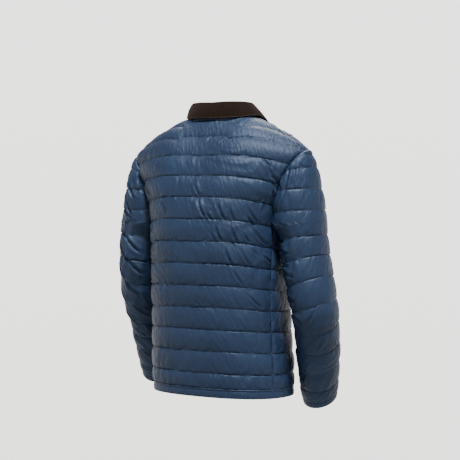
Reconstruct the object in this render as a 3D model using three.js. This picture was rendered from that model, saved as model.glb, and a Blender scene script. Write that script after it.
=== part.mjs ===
// A worn, hollow quilted jacket with a turned-down cord collar.
// Millimetres, +Z up. The front faces -Y and the wearer's left is +X.
// The origin is the middle of the neck opening, at the height of the two
// points where the shoulder seams meet the neckline.

import * as THREE from 'three';
import { mergeVertices } from 'three/addons/utils/BufferGeometryUtils.js';

// Quilting and walls
const channel = 52.5; // between two quilting lines of the body
const firstLine = 59; // from the hem edge up to the lowest quilting line
const lineCount = 12; // quilting lines on the back
const sleeveChannel = 53; // between two quilting lines of a sleeve
const hemBand = 18; // turned hem, up to its double row of stitches
const seamGap = 0.3; // between two pieces at a seam
const innerWall = 2; // from the cut's surface in to the plain inside
const lineWall = 1; // from the cut's surface out to a quilting line
const puff = 4.2; // how far a channel stands above its quilting lines
const hemPuff = 1.2; // how far the flat hem band stands above its stitches

// Body
const hemZ = -672;
const chestZ = -270;
const roundness = 2.4; // exponent of the body's rounded rings
const sideFall = 0.045; // share by which the side is gathered in height
const sideTilt = 0.022; // how the hem and the lower body drop to the right
const meridianPull = 1.1; // length of the curves' end tangents, in chords
const meridianSteps = 14;
const angleStep = 0.4; // degrees, for the slope of the surface
const normalInset = 14; // from the top edge to where its slope is read

// Body rings, from the hem to the chest
const bodyRings = [
  { z: -690, halfWidth: 176, backDepth: 129, frontDepth: 126, centreY: -9 },
  { z: -600, halfWidth: 174, backDepth: 131, frontDepth: 128, centreY: -5 },
  { z: -500, halfWidth: 169, backDepth: 135, frontDepth: 132, centreY: 1 },
  { z: -400, halfWidth: 166, backDepth: 140, frontDepth: 135, centreY: 6 },
  { z: -270, halfWidth: 165, backDepth: 143, frontDepth: 137, centreY: 10 },
];

// Neckline and shoulder ridge
const neckHalfWidth = 82;
const neckBack = 48;
const neckFront = 90;
const neckRise = 5; // how much higher the seam is at the centre back
const neckDrop = 70; // how much lower it is at the centre front
const shoulderReach = 235; // from the centre to the tip of the shoulder
const ridgeSlope = 0.3;
const ridgeBend = 0.0016;

// Side seam and armhole, as angles from the centre back
const sideSeamAngles = [
  { s: 0, angle: 70 },
  { s: 150, angle: 72.5 },
  { s: 300, angle: 76 },
  { s: 426.5, angle: 82 },
];
const underarmS = 426.5;
const underarmAngle = 82;
const armholeBack = 5; // degrees the back armhole is cut in
const armholeFront = 26; // degrees the front armhole is scooped out

// Net of points on the panels
const rowsPerChannel = 3;
const columnWidth = 23;
const millimetresPerDegree = 2.65; // round the body
const gapAngle = 0.06; // half a seam's gap, in degrees round the body
const underarmStep = 6; // extra row above the underarm
const seamFadeWidth = 16; // over which the quilting flattens into a seam
const neckColumns = 6; // from the centre back to the neck point

// Rows of the back above its top quilting line. Each ends on the ridge at
// ridgeAngle and runs at s, or part of the way from s to the neckline.
const yokeRows = [
  { s: 654, rise: 0, ridgeAngle: 68, place: 0.3 },
  { s: 672, rise: 0, ridgeAngle: 55, place: 0.6 },
  { s: 672, rise: 0.35, ridgeAngle: 42, place: 0.73 },
  { s: 672, rise: 0.7, ridgeAngle: 30, place: 0.88 },
];
const lastRidgeAngle = 22;
// Rows of a front above the tip of the shoulder, as shares of the way up
const frontYokeShares = [0, 0.2, 0.4, 0.6, 0.8];

// Sleeve cap, level with the armhole's rows: centre, half-sizes, how much
// higher the row is on its outer side, and how far it looks up, in degrees
const capRings = [
  { s: 426.5, x: 225, halfOut: 51, halfDepth: 64, rise: 15, lookUp: 5 },
  { s: 461.5, x: 224, halfOut: 49, halfDepth: 62, rise: 5, lookUp: 6 },
  { s: 514, x: 219, halfOut: 45, halfDepth: 58, rise: 6, lookUp: 9 },
  { s: 566.5, x: 216, halfOut: 38, halfDepth: 48, rise: 12, lookUp: 20 },
  { s: 601.5, x: 217, halfOut: 30, halfDepth: 36, rise: 3, lookUp: 38 },
  { s: 619, x: 222, halfOut: 22, halfDepth: 26, rise: -3, lookUp: 52 },
];

// Arms below the armhole: centre of the ring at a distance q from the
// underarm, with x away from the body, and its half-sizes
const rightArm = [
  { q: 0, x: 225, y: 0, z: -257, halfOut: 51, halfDepth: 64 },
  { q: 83, x: 233, y: -1, z: -343, halfOut: 53, halfDepth: 64 },
  { q: 136, x: 243, y: 0, z: -396, halfOut: 53, halfDepth: 63 },
  { q: 189, x: 252, y: -3, z: -449, halfOut: 52, halfDepth: 61 },
  { q: 242, x: 250, y: -20, z: -499, halfOut: 50, halfDepth: 58 },
  { q: 348, x: 232, y: -68, z: -594, halfOut: 47, halfDepth: 52 },
  { q: 454, x: 209, y: -123, z: -686, halfOut: 40, halfDepth: 45 },
];
const leftArm = [
  { q: 0, x: 225, y: 0, z: -257, halfOut: 51, halfDepth: 64 },
  { q: 83, x: 233, y: -3, z: -341, halfOut: 53, halfDepth: 64 },
  { q: 136, x: 239, y: -13, z: -392, halfOut: 53, halfDepth: 63 },
  { q: 189, x: 244, y: -33, z: -440, halfOut: 52, halfDepth: 61 },
  { q: 242, x: 249, y: -58, z: -484, halfOut: 49, halfDepth: 57 },
  { q: 348, x: 260, y: -100, z: -568, halfOut: 46, halfDepth: 51 },
  { q: 454, x: 270, y: -138, z: -652, halfOut: 40, halfDepth: 45 },
];
const sleeveLineS = 461.5; // lowest quilting line of the cap, on the armhole
const sleeveFirstLine = 30; // first quilting line below the underarm
const sleeveChannels = 8; // from that line to the cuff
const cuffHem = 18;
const elbowLine = 3; // quilting line at which the bent right sleeve is in two parts
const sleeveColumns = 17;
const startReach = 24; // over which a sleeve leaves the armhole's lowest point
const underarmFade = 25; // degrees over which its quilting fades there
const armRowsAboveLine = [0, 10, 20];
const edgeReach = 110; // degrees over which a cap row runs into its edge
const armTilt = 6; // how much higher a ring's outer side lies
const armGap = 4.2; // from the body's cut surface to the sleeve's outside, at the underarm
const armClearance = 6.2; // the same beside the body's puffed channels
const clearFrom = 18; // distance from the underarm at which they start
const crotchHeight = 9; // of the armhole's bottom, where the sleeve turns under

// Largest folds of the back, each between two places: angles from the centre
// back and lengths from the hem
const backFolds = [
  { fromAngle: -5, fromS: 648, toAngle: -1.5, toS: 620 },
  { fromAngle: -46, fromS: 580, toAngle: -62, toS: 546 },
  { fromAngle: -5, fromS: 470, toAngle: -11, toS: 428 },
  { fromAngle: -20.5, fromS: 462, toAngle: -27.5, toS: 424 },
  { fromAngle: -47.5, fromS: 462, toAngle: -62, toS: 428 },
  { fromAngle: -54.5, fromS: 416, toAngle: -71, toS: 380 },
  { fromAngle: -28, fromS: 358, toAngle: -35, toS: 320 },
  { fromAngle: -41, fromS: 366, toAngle: -51.5, toS: 324 },
  { fromAngle: 60, fromS: 430, toAngle: 44, toS: 392 },
  { fromAngle: 62, fromS: 360, toAngle: 48, toS: 330 },
];
// Largest folds of the arms: distances from the underarm, and turns from the
// outer side towards the back
const armFolds = [
  { side: 1, fromQ: 40, fromTurn: 70, toQ: 75, toTurn: 130 },
  { side: 1, fromQ: 95, fromTurn: 50, toQ: 125, toTurn: 115 },
  { side: 1, fromQ: 150, fromTurn: 60, toQ: 180, toTurn: 125 },
  { side: 1, fromQ: 220, fromTurn: 80, toQ: 245, toTurn: 140 },
  { side: -1, fromQ: 70, fromTurn: 150, toQ: 95, toTurn: 95 },
  { side: -1, fromQ: 130, fromTurn: 155, toQ: 150, toTurn: 90 },
  { side: -1, fromQ: 185, fromTurn: 150, toQ: 205, toTurn: 100 },
];
const foldWidth = 17; // from a fold's crest to its foot
const foldHeight = 3;

// Collar
const standTops = [
  { share: 0, height: 24, lean: -3 },
  { share: 0.3, height: 28, lean: -9 },
  { share: 0.5, height: 30, lean: -8 },
  { share: 0.65, height: 27, lean: 2 },
  { share: 0.8, height: 21, lean: 3 },
  { share: 1, height: 16, lean: 3 },
];
const neckCentreY = -21;
// The leaf's path from the stand's top edge, outward and upward
const foldPath = [
  { out: 0, up: 0.5, turn: 0 },
  { out: 0.6, up: 3.6, turn: 25 },
  { out: 2.6, up: 6.4, turn: 60 },
  { out: 5.6, up: 7, turn: 100 },
  { out: 8.2, up: 5.2, turn: 140 },
];
// The leaf's lower edge from the neckline seam, by share from back to front
const leafEdges = [
  { share: 0, out: 13, up: -8 },
  { share: 0.25, out: 12, up: -5 },
  { share: 0.42, out: 13, up: 4 },
  { share: 0.52, out: 18, up: 8 },
  { share: 0.62, out: 36, up: 3 },
  { share: 0.69, out: 42, up: -2 },
  { share: 0.78, out: 42, up: -14 },
  { share: 1, out: 38, up: -44 },
];
const leafRows = 3;
const leafInner = 1.6;
const leafOuter = 1.6;
const leafEndShare = 0.955; // where the leaf ends, short of the centre front

// Placket and press studs
const placketHalfWidth = 20;
const placketClear = 0.35;
const placketThickness = 2.2;
const placketTrial = 170; // angle at which the front's widening is read
const studCount = 7;
const studRadius = 7.5;
const studHeight = 2.6;
const studGap = 0.4;
const studInset = 24; // from the placket's ends to its outer studs

const degree = Math.PI / 180;
const cloth = { color: 0x3c4e69, roughness: 0.48, metalness: 0 };
const cord = { color: 0x30241e, roughness: 0.9, metalness: 0 };
const metal = { color: 0x2b2f36, roughness: 0.35, metalness: 0.8 };

// Value between 0 and 1, with level ends
function smooth(value) {
  const t = Math.min(1, Math.max(0, value));
  return t * t * (3 - 2 * t);
}

// Every column of a table at one level of its first-named column
function tableAt(table, key, level) {
  const last = table.length - 1;
  let i = 0;
  while (i < last - 1 && level > table[i + 1][key]) i += 1;
  const a = table[i];
  const b = table[i + 1];
  const span = b[key] - a[key];
  const t = Math.min(1.2, Math.max(-0.2, (level - a[key]) / span));
  const before = table[Math.max(0, i - 1)];
  const after = table[Math.min(last, i + 2)];
  const result = {};
  for (const name of Object.keys(a)) {
    const slopeA = (b[name] - before[name]) / (b[key] - before[key]) * span;
    const slopeB = (after[name] - a[name]) / (after[key] - a[key]) * span;
    const h = hermiteWeights(t);
    result[name] = h[0] * a[name] + h[1] * slopeA + h[2] * b[name] + h[3] * slopeB;
  }
  return result;
}

function hermiteWeights(t) {
  return [
    (1 + 2 * t) * (1 - t) ** 2,
    t * (1 - t) ** 2,
    t * t * (3 - 2 * t),
    t * t * (t - 1),
  ];
}

function rounded(value) {
  return Math.sign(value) * Math.abs(value) ** (2 / roundness);
}

// Point of the body's ring at one height
function ringPoint(z, angle) {
  const ring = tableAt(bodyRings, 'z', z);
  const cos = Math.cos(angle * degree);
  const depth = cos > 0 ? ring.backDepth : ring.frontDepth;
  const x = ring.halfWidth * rounded(Math.sin(angle * degree));
  const y = ring.centreY + depth * rounded(cos);
  return new THREE.Vector3(x, y, z + sideTilt * x * smooth((-120 - z) / 260));
}

// Height of the shoulder ridge at a distance from the centre
function ridgeHeight(reach) {
  const out = reach - neckHalfWidth;
  return -ridgeSlope * out - ridgeBend * out * out;
}

// Upper end of the curve that climbs the body at one angle
function topEnd(angle) {
  const sin = Math.sin(angle * degree);
  const reach = shoulderReach * Math.abs(rounded(sin));
  const behind = Math.abs(angle) <= 90;
  const turn = behind ? -1 : 1;
  const round = Math.sqrt(Math.max(0, 1 - (reach / neckHalfWidth) ** 2));
  const point = new THREE.Vector3(Math.sign(sin) * reach, 0, 0);
  if (reach >= neckHalfWidth) point.z = ridgeHeight(reach);
  else if (behind) point.set(point.x, neckBack * round, neckRise * round);
  else point.set(point.x, -neckFront * round, -neckDrop * round ** 2);
  const flat = new THREE.Vector3(0, turn, 0);
  const steep = new THREE.Vector3(0, 0.5 * turn, 0.87);
  return { point, tangent: flat.lerp(steep, round).normalize() };
}

// The curve from the chest ring to the neckline or ridge, by length
function meridian(angle) {
  const start = ringPoint(chestZ, angle);
  const end = topEnd(angle);
  const pull = start.distanceTo(end.point) * meridianPull;
  const at = (t) => {
    const h = hermiteWeights(t);
    return start.clone().multiplyScalar(h[0])
      .addScaledVector(new THREE.Vector3(0, 0, 1), h[1] * pull)
      .addScaledVector(end.point, h[2])
      .addScaledVector(end.tangent, h[3] * pull);
  };
  const lengths = [0];
  let last = start;
  for (let i = 1; i <= meridianSteps; i += 1) {
    const next = at(i / meridianSteps);
    lengths.push(lengths[i - 1] + last.distanceTo(next));
    last = next;
  }
  const byLength = (length) => {
    let i = 0;
    while (i < meridianSteps - 1 && length > lengths[i + 1]) i += 1;
    return at((i + (length - lengths[i]) / (lengths[i + 1] - lengths[i])) / meridianSteps);
  };
  return { byLength, length: lengths[meridianSteps] };
}

function sideSqueeze(angle) {
  return 1 - sideFall * Math.sin(angle * degree) ** 4;
}

// The body's surface: an angle from the centre back, a length from the hem
function bodyPoint(angle, s) {
  const chestS = (chestZ - hemZ) / sideSqueeze(angle);
  if (s <= chestS) return ringPoint(hemZ + s * sideSqueeze(angle), angle);
  return meridian(angle).byLength(s - chestS);
}

// Length from the hem to the neckline or ridge at one angle
function topLength(angle) {
  return (chestZ - hemZ) / sideSqueeze(angle) + meridian(angle).length;
}

// Angle between two others at which the top lies at one length
function angleOfTop(s, low, high) {
  let a = low;
  let b = high;
  const rising = topLength(b) > topLength(a);
  for (let i = 0; i < 30; i += 1) {
    const middle = (a + b) / 2;
    if ((topLength(middle) > s) === rising) b = middle;
    else a = middle;
  }
  return (a + b) / 2;
}

// Outward normal of the body's surface, from the panel that holds the point
function bodyNormal(angle, s) {
  const level = Math.min(s, topLength(angle) - normalInset);
  const limit = Math.abs(angle) <= 90 ? [-90, 90] : [90.01, 269.99];
  const turned = angle < -90 ? angle + 360 : angle;
  const from = Math.max(limit[0], turned - angleStep);
  const to = Math.min(limit[1], turned + angleStep);
  const across = bodyPoint(to, level).sub(bodyPoint(from, level));
  const up = bodyPoint(angle, level + 2).sub(bodyPoint(angle, level - 2));
  return up.cross(across).normalize();
}

// Normal on the shoulder ridge, shared by the back and the front
function ridgeNormal(x) {
  const slope = ridgeSlope + 2 * ridgeBend * (Math.abs(x) - neckHalfWidth);
  return new THREE.Vector3(Math.sign(x) * slope, 0, 1).normalize();
}

// How far a quilted surface stands above its cut, from its place in the channel
function channelPuff(share) {
  const place = share - Math.floor(share + 1e-6);
  return puff * Math.max(0, Math.sin(Math.PI * place)) ** 0.7;
}

function bodyPuff(s) {
  if (s <= hemBand) return hemPuff * Math.sin(Math.PI * s / hemBand);
  if (s < firstLine) return channelPuff((s - hemBand) / (firstLine - hemBand));
  return channelPuff((s - firstLine) / channel);
}

// How far the folds between pairs of places lift the surface at a point
function foldLift(point, folds) {
  let lift = 0;
  for (const fold of folds) {
    const nearest = fold.closestPointToPoint(point, true, new THREE.Vector3());
    lift += foldHeight * Math.max(0, 1 - (point.distanceTo(nearest) / foldWidth) ** 2);
  }
  return Math.min(lift, foldHeight);
}

// One point of a wall: its plain inside and its raised outside
function layer(point, normal, raise) {
  return {
    outer: point.clone().addScaledVector(normal, lineWall + raise),
    inner: point.clone().addScaledVector(normal, -innerWall),
  };
}

// The same point of a wall, moved
function moved(pair, direction, distance) {
  return {
    outer: pair.outer.clone().addScaledVector(direction, distance),
    inner: pair.inner.clone().addScaledVector(direction, distance),
  };
}

function middle(a, b) {
  return { outer: a.outer.clone().lerp(b.outer, 0.5), inner: a.inner.clone().lerp(b.inner, 0.5) };
}

// Back edge or front edge of the armhole, as an angle, at one length
function armholeAngle(s, behind) {
  const rise = Math.min(1, Math.max(0, (s - underarmS) / (tipS - underarmS)));
  const side = underarmAngle + (90 - underarmAngle) * rise ** 5;
  if (behind) return side - armholeBack * Math.sin(Math.PI * rise ** 1.2);
  return side + armholeFront * Math.sin(Math.PI * Math.sqrt(rise));
}

function sideSeamAngle(s) {
  return tableAt(sideSeamAngles, 's', s).angle;
}

// Point on the shoulder ridge, on the back's or the front's side of the seam
function ridgeEdge(side, angle, behind) {
  const place = topEnd(angle).point;
  place.x = side * Math.abs(place.x);
  place.y = behind ? seamGap / 2 : -seamGap / 2;
  return layer(place, ridgeNormal(place.x), 0);
}

// Edge of a panel on the armhole or the side seam, flat as all seams are.
// side is 1 on the wearer's left and -1 on the right.
function sideEdge(side, s, behind) {
  if (s >= tipS - 3) return ridgeEdge(side, 90, behind);
  const angle = side * (s > underarmS
    ? armholeAngle(s, behind)
    : sideSeamAngle(s) + (behind ? -gapAngle : gapAngle));
  const point = bodyPoint(angle, s);
  const normal = bodyNormal(angle, s);
  if (s > underarmS - 0.01) normal.add(sleeveEdgeNormal(side, point, s)).normalize();
  return layer(point, normal, 0);
}

// Which way the sleeve faces where it meets the armhole
function sleeveEdgeNormal(side, point, s) {
  const ring = tableAt(capRings, 's', s);
  const turn = ringTurn(ring, side, point);
  const under = 1 - smooth((s - underarmS) / crotchHeight);
  return ringNormal(ring, side, turn).lerp(new THREE.Vector3(0, 0, -1), under);
}

// Turn of a point round a cap ring, from its outer side, in radians
function ringTurn(ring, side, point) {
  return Math.atan2(point.y / ring.halfDepth, (point.x * side - ring.x) / ring.halfOut);
}

function ringNormal(ring, side, turn) {
  const x = side * Math.cos(turn) / ring.halfOut;
  const normal = new THREE.Vector3(x, Math.sin(turn) / ring.halfDepth, 0).normalize();
  normal.multiplyScalar(Math.cos(ring.lookUp * degree));
  return normal.setZ(Math.sin(ring.lookUp * degree));
}

// Points of a row between two edges, with the quilting faded into the seams
function rowBetween(from, to, level, raise) {
  const reach = Math.abs(to - from) * millimetresPerDegree;
  const count = Math.max(1, Math.round(reach / columnWidth));
  const pairs = [];
  for (let i = 1; i < count; i += 1) {
    const angle = from + (to - from) * i / count;
    const s = level(angle);
    const fade = smooth(i / count * reach / seamFadeWidth)
      * smooth((1 - i / count) * reach / seamFadeWidth);
    const point = bodyPoint(angle, s);
    const lift = Math.abs(angle) < 90 ? foldLift(point, backFoldLines) : 0;
    pairs.push(layer(point, bodyNormal(angle, s), (raise + lift) * fade));
  }
  return pairs;
}

// Lengths from the hem at which a panel has its rows
function rowLengths() {
  const lengths = [0, hemBand / 2, hemBand, (hemBand + firstLine) / 2];
  for (let i = 0; i <= (lineCount - 1) * rowsPerChannel; i += 1) {
    const s = firstLine + i * channel / rowsPerChannel;
    lengths.push(s);
    if (Math.abs(s - underarmS) < 0.01) lengths.push(underarmS + underarmStep);
  }
  return lengths;
}

// Whether the plain inside has this row: the hem, the quilting lines below
// the armhole, and every row beside it
function keepsInside(s) {
  const lines = (s - firstLine) / channel;
  return s === 0 || s >= underarmS || Math.abs(lines - Math.round(lines)) < 0.01;
}

// The back, from its hem to the neckline
function backRows() {
  const rows = [];
  for (const s of rowLengths()) {
    const reach = s > underarmS ? armholeAngle(s, true) : sideSeamAngle(s);
    const level = (angle) => Math.min(s, topLength(angle) - 2);
    const inner = rowBetween(-reach, reach, level, bodyPuff(s));
    rows.push({ pairs: [sideEdge(-1, s, true), ...inner, sideEdge(1, s, true)], kept: keepsInside(s) });
  }
  for (const yoke of yokeRows) {
    const cut = yoke.ridgeAngle;
    const level = (angle) => {
      const top = topLength(angle);
      const flat = yoke.s + (top - yoke.s) * yoke.rise;
      return Math.min(top - 3, flat + (top - flat) * Math.abs(angle / cut) ** 4);
    };
    const inner = rowBetween(-cut, cut, level, channelPuff(yoke.place));
    const pairs = [ridgeEdge(-1, cut, true), ...inner, ridgeEdge(1, cut, true)];
    rows.push({ pairs, kept: true });
  }
  const neck = backNeckline();
  const first = ridgeEdge(-1, lastRidgeAngle, true);
  rows.push({ pairs: [first, ...neck, ridgeEdge(1, lastRidgeAngle, true)], kept: true });
  return rows;
}

// Angle at which the neckline has one turn from the centre back, in degrees
function neckAngle(turn) {
  const x = neckHalfWidth * Math.sin(turn * degree);
  return Math.asin((x / shoulderReach) ** (roundness / 2)) / degree;
}

function topEdge(angle) {
  const point = topEnd(angle).point;
  return layer(point, bodyNormal(angle, topLength(angle)).add(neckOut(point)).normalize(), 0);
}

// Corner of the back or a front at the neck point
function neckCorner(side, behind) {
  const place = new THREE.Vector3(side * neckHalfWidth, behind ? seamGap / 2 : -seamGap / 2, 0);
  return layer(place, ridgeNormal(place.x).add(new THREE.Vector3(side, 0, 0)).normalize(), 0);
}

// The back's neckline, from the right neck point to the left one
function backNeckline() {
  const pairs = [];
  for (let i = -neckColumns; i <= neckColumns; i += 1) {
    const angle = Math.sign(i) * neckAngle(90 * Math.abs(i) / neckColumns);
    pairs.push(Math.abs(i) === neckColumns ? neckCorner(Math.sign(i), true) : topEdge(angle));
  }
  return pairs;
}

// A front's edge on the centre front or on the neckline
function frontInnerEdge(side, s) {
  if (s < frontTopS + 0.01) {
    const place = bodyPoint(180, s);
    place.x = side * seamGap / 2;
    return layer(place, bodyNormal(180, s), 0);
  }
  const angle = side * angleOfTop(s, neckPointAngle, 180);
  return topEdge(angle);
}

// One front, from its hem to the neck point
function frontRows(side) {
  const rows = [];
  const low = rowLengths().filter((s) => s < frontTopS - 6);
  const high = rowLengths().filter((s) => s > frontTopS + 6 && s < tipS - 6);
  for (const s of [...low, frontTopS, ...high]) {
    const outerAngle = s > underarmS ? armholeAngle(s, false) : sideSeamAngle(s);
    const open = s > frontTopS + 0.01;
    const innerAngle = open ? angleOfTop(s, neckPointAngle, 180) : placketAngle(s, 1);
    const level = (angle) => Math.min(s, topLength(angle) - 2);
    const inner = rowBetween(side * outerAngle, side * innerAngle, level, bodyPuff(s));
    if (!open) inner.push(layer(bodyPoint(side * innerAngle, s), bodyNormal(side * innerAngle, s), 0));
    const pairs = [sideEdge(side, s, false), ...inner, frontInnerEdge(side, s)];
    rows.push({ pairs, kept: keepsInside(s) });
  }
  for (const share of frontYokeShares) {
    const s = tipS + (frontNeckS - tipS) * share;
    const outerAngle = share > 0 ? angleOfTop(s, 90.01, neckPointAngle - 0.01) : 90;
    const innerAngle = angleOfTop(s, neckPointAngle, 180);
    const level = (angle) => Math.min(s, topLength(angle) - 2);
    const inner = rowBetween(side * outerAngle, side * innerAngle, level, bodyPuff(s));
    const pairs = [ridgeEdge(side, outerAngle, false), ...inner, frontInnerEdge(side, s)];
    rows.push({ pairs, kept: true });
  }
  rows.push({ pairs: [neckCorner(side, false)], kept: true });
  return rows;
}

// Edge that a sleeve's cap shares with the panels, across the seam's gap
function armholeEdge(side, s, behind) {
  const here = sideEdge(side, s, behind);
  const above = sideEdge(side, Math.min(s + 2, tipS - 4), behind);
  const below = sideEdge(side, Math.max(s - 2, underarmS + 0.01), behind);
  const along = above.outer.clone().sub(below.outer);
  const wall = here.outer.clone().sub(here.inner);
  const away = along.cross(wall).normalize();
  if (s <= underarmS + 0.01) away.set(side * 0.7, 0, 0.7);
  else if (away.x * side + (behind ? -away.y : away.y) < 0) away.negate();
  return moved(here, away, seamGap);
}

// The same for the tip of the shoulder
function tipEdge(side) {
  const ridge = middle(ridgeEdge(side, 90, true), ridgeEdge(side, 90, false));
  return moved(ridge, new THREE.Vector3(side, 0, -ridgeSlope).normalize(), seamGap);
}

// Base point of an edge pair, on the cut's surface
function basePoint(pair) {
  return pair.inner.clone().lerp(pair.outer, innerWall / (innerWall + lineWall));
}

// How far a sleeve stands above its quilting lines beside the armhole
function capPuff(s) {
  if (s >= sleeveLineS) return channelPuff((s - sleeveLineS) / channel);
  return channelPuff((s - underarmS + sleeveFirstLine) / (sleeveLineS - underarmS + sleeveFirstLine));
}

function armPuff(q) {
  const cuff = sleeveFirstLine + sleeveChannels * sleeveChannel;
  const toCuff = cuff - q;
  if (toCuff <= cuffHem) return hemPuff * Math.sin(Math.PI * toCuff / cuffHem);
  const gathered = sleeveLineS - underarmS + sleeveFirstLine;
  if (q < sleeveFirstLine) return channelPuff((sleeveFirstLine - q) / gathered);
  const last = sleeveFirstLine + (sleeveChannels - 1) * sleeveChannel;
  if (q > last) return channelPuff((q - last) / (sleeveChannel - cuffHem));
  return channelPuff((q - sleeveFirstLine) / sleeveChannel);
}

// The body's half-width at one place, for what lies beside it
function bodyReach(point) {
  const ring = tableAt(bodyRings, 'z', Math.min(point.z, chestZ));
  const off = point.y - ring.centreY;
  const share = Math.abs(off / (off > 0 ? ring.backDepth : ring.frontDepth));
  return share < 1 ? ring.halfWidth * (1 - share ** roundness) ** (1 / roundness) : 0;
}

// Keeps a sleeve's wall beside the body instead of inside it
function clearOfBody(pair, side, q) {
  const least = bodyReach(pair.outer) + armGap + (armClearance - armGap) * smooth(q / clearFrom);
  const short = least - pair.outer.x * side;
  return short > 0 ? moved(pair, new THREE.Vector3(side, 0, 0), short) : pair;
}

// Open row of the cap, level with one row of the armhole
function capRow(side, s) {
  const ring = tableAt(capRings, 's', s);
  const ends = [armholeEdge(side, s, true), armholeEdge(side, s, false)];
  const [back, front] = ends.map(basePoint);
  const height = (back.z + front.z) / 2;
  const place = (angle) => new THREE.Vector3(
    side * (ring.x + ring.halfOut * Math.cos(angle)),
    ring.halfDepth * Math.sin(angle),
    height + ring.rise * (1 + Math.cos(angle)) / 2,
  );
  const from = ringTurn(ring, side, back);
  let to = ringTurn(ring, side, front);
  if (to > 0) to -= 2 * Math.PI;
  const backShift = back.sub(place(from));
  const frontShift = front.sub(place(to));
  const reach = (from - to) * (ring.halfOut + ring.halfDepth) / 2;
  const count = Math.max(2, Math.round(reach / columnWidth));
  const pairs = [ends[0]];
  for (let i = 1; i < count; i += 1) {
    const angle = from + (to - from) * i / count;
    const point = place(angle)
      .addScaledVector(backShift, smooth(1 - (from - angle) / degree / edgeReach))
      .addScaledVector(frontShift, smooth(1 - (angle - to) / degree / edgeReach));
    const normal = ringNormal(ring, side, angle);
    const fade = smooth(Math.min(i, count - i) / count * reach / seamFadeWidth);
    pairs.push(layer(point, normal, capPuff(s) * fade));
  }
  pairs.push(ends[1]);
  return pairs;
}

// One ring of the arm, at one distance from the underarm: its centre,
// half-sizes and directions
function armRing(side, q) {
  const arm = side > 0 ? leftArm : rightArm;
  const ring = tableAt(arm, 'q', q);
  const ahead = tableAt(arm, 'q', q + 3);
  const before = tableAt(arm, 'q', q - 3);
  const lower = basePoint(armholeEdge(side, underarmS, true)).z - underarmHeight;
  const height = ring.z + lower * (1 - smooth(q / 80));
  const centre = new THREE.Vector3(side * ring.x, ring.y, height);
  const down = new THREE.Vector3(side * (ahead.x - before.x), ahead.y - before.y, ahead.z - before.z);
  down.normalize().lerp(new THREE.Vector3(0, 0, -1), 1 - smooth(q / 60)).normalize();
  const out = new THREE.Vector3(side, 0, 0).addScaledVector(down, -down.x * side).normalize();
  const back = out.clone().cross(down).multiplyScalar(side);
  return { centre, halfOut: ring.halfOut, halfDepth: ring.halfDepth, down, out, back };
}

function armPoint(ring, angle) {
  return ring.centre.clone()
    .addScaledVector(ring.down, -armTilt * Math.cos(angle))
    .addScaledVector(ring.out, ring.halfOut * Math.cos(angle))
    .addScaledVector(ring.back, ring.halfDepth * Math.sin(angle));
}

// Closed row of the arm
function armRow(side, q) {
  const ring = armRing(side, q);
  const underarm = armholeEdge(side, underarmS, true);
  const start = basePoint(underarm);
  const from = ringTurn(rightArm[0], side, start);
  const shift = start.clone().sub(armPoint(ring, from)).multiplyScalar(smooth(1 - q / startReach));
  const folds = armFoldLines.filter((fold) => fold.side === side).map((fold) => fold.line);
  const pairs = [];
  for (let i = 0; i <= sleeveColumns; i += 1) {
    const turn = 2 * Math.PI * i / sleeveColumns;
    const angle = from - turn;
    const near = Math.min(turn, 2 * Math.PI - turn) / degree;
    const point = armPoint(ring, angle).addScaledVector(shift, smooth(1 - near / edgeReach));
    const normal = ring.out.clone().multiplyScalar(Math.cos(angle) / ring.halfOut)
      .addScaledVector(ring.back, Math.sin(angle) / ring.halfDepth).normalize();
    const fade = q < sleeveFirstLine ? smooth(near / underarmFade) : 1;
    const raise = armPuff(q) * fade + foldLift(point, folds);
    pairs.push(clearOfBody(layer(point, normal, raise), side, q));
  }
  if (q === 0) pairs[0] = underarm;
  pairs[sleeveColumns] = pairs[0];
  return pairs;
}

// A sleeve, from its cuff to the tip of the shoulder
function sleeveRows(side) {
  const cuff = sleeveFirstLine + sleeveChannels * sleeveChannel;
  const distances = [cuff, cuff - cuffHem / 2, cuff - cuffHem];
  const step = sleeveChannel / rowsPerChannel;
  for (let q = cuff - sleeveChannel + step; q > sleeveFirstLine - 1; q -= step) {
    if (q < cuff - cuffHem - 3) distances.push(q);
  }
  distances.push(...[...armRowsAboveLine].reverse());
  const rows = distances.map((q) => {
    const lines = (q - sleeveFirstLine) / sleeveChannel;
    const kept = q === cuff || q <= sleeveFirstLine || Math.abs(lines - Math.round(lines)) < 0.01;
    return { pairs: armRow(side, q), kept, closed: true, q };
  });
  const levels = rowLengths().filter((s) => s > underarmS + 0.01 && s < tipS - 6);
  const top = levels.pop();
  for (const s of levels) rows.push({ pairs: capRow(side, s), kept: true });
  rows.push({
    pairs: [armholeEdge(side, top, true), tipEdge(side), armholeEdge(side, top, false)],
    kept: true,
  });
  return rows;
}

// The two parts of a sleeve that is cut at its elbow line, the lower one first
function partedSleeve(side) {
  const q = sleeveFirstLine + elbowLine * sleeveChannel;
  const rows = sleeveRows(side);
  const last = rows.findIndex((row) => row.q < q + 1);
  const above = { pairs: armRow(side, q - seamGap), kept: true, closed: true };
  return [rows.slice(0, last + 1), [above, ...rows.slice(last + 1)]];
}

// The neckline seam, from the right front's edge round to the left front's
function neckline() {
  const halfOf = (side) => {
    const levels = rowLengths().filter((s) => s > frontTopS + 6 && s < tipS - 6);
    const yoke = frontYokeShares.map((share) => tipS + (frontNeckS - tipS) * share);
    return [frontTopS, ...levels, ...yoke].map((s) => frontInnerEdge(side, s));
  };
  return [...halfOf(-1), ...backNeckline(), ...halfOf(1).reverse()];
}

// Direction away from the neck's middle
function neckOut(point) {
  return new THREE.Vector3(
    point.x / neckHalfWidth ** 2,
    (point.y - neckCentreY) / ((neckBack + neckFront) / 2) ** 2,
    0,
  ).normalize();
}

// Share of the way round the neck, from 0 at the back to 1 at the front
function neckShare(point) {
  return Math.abs(Math.atan2(point.x, point.y - neckCentreY)) / Math.PI;
}

const upward = new THREE.Vector3(0, 0, 1);

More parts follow.
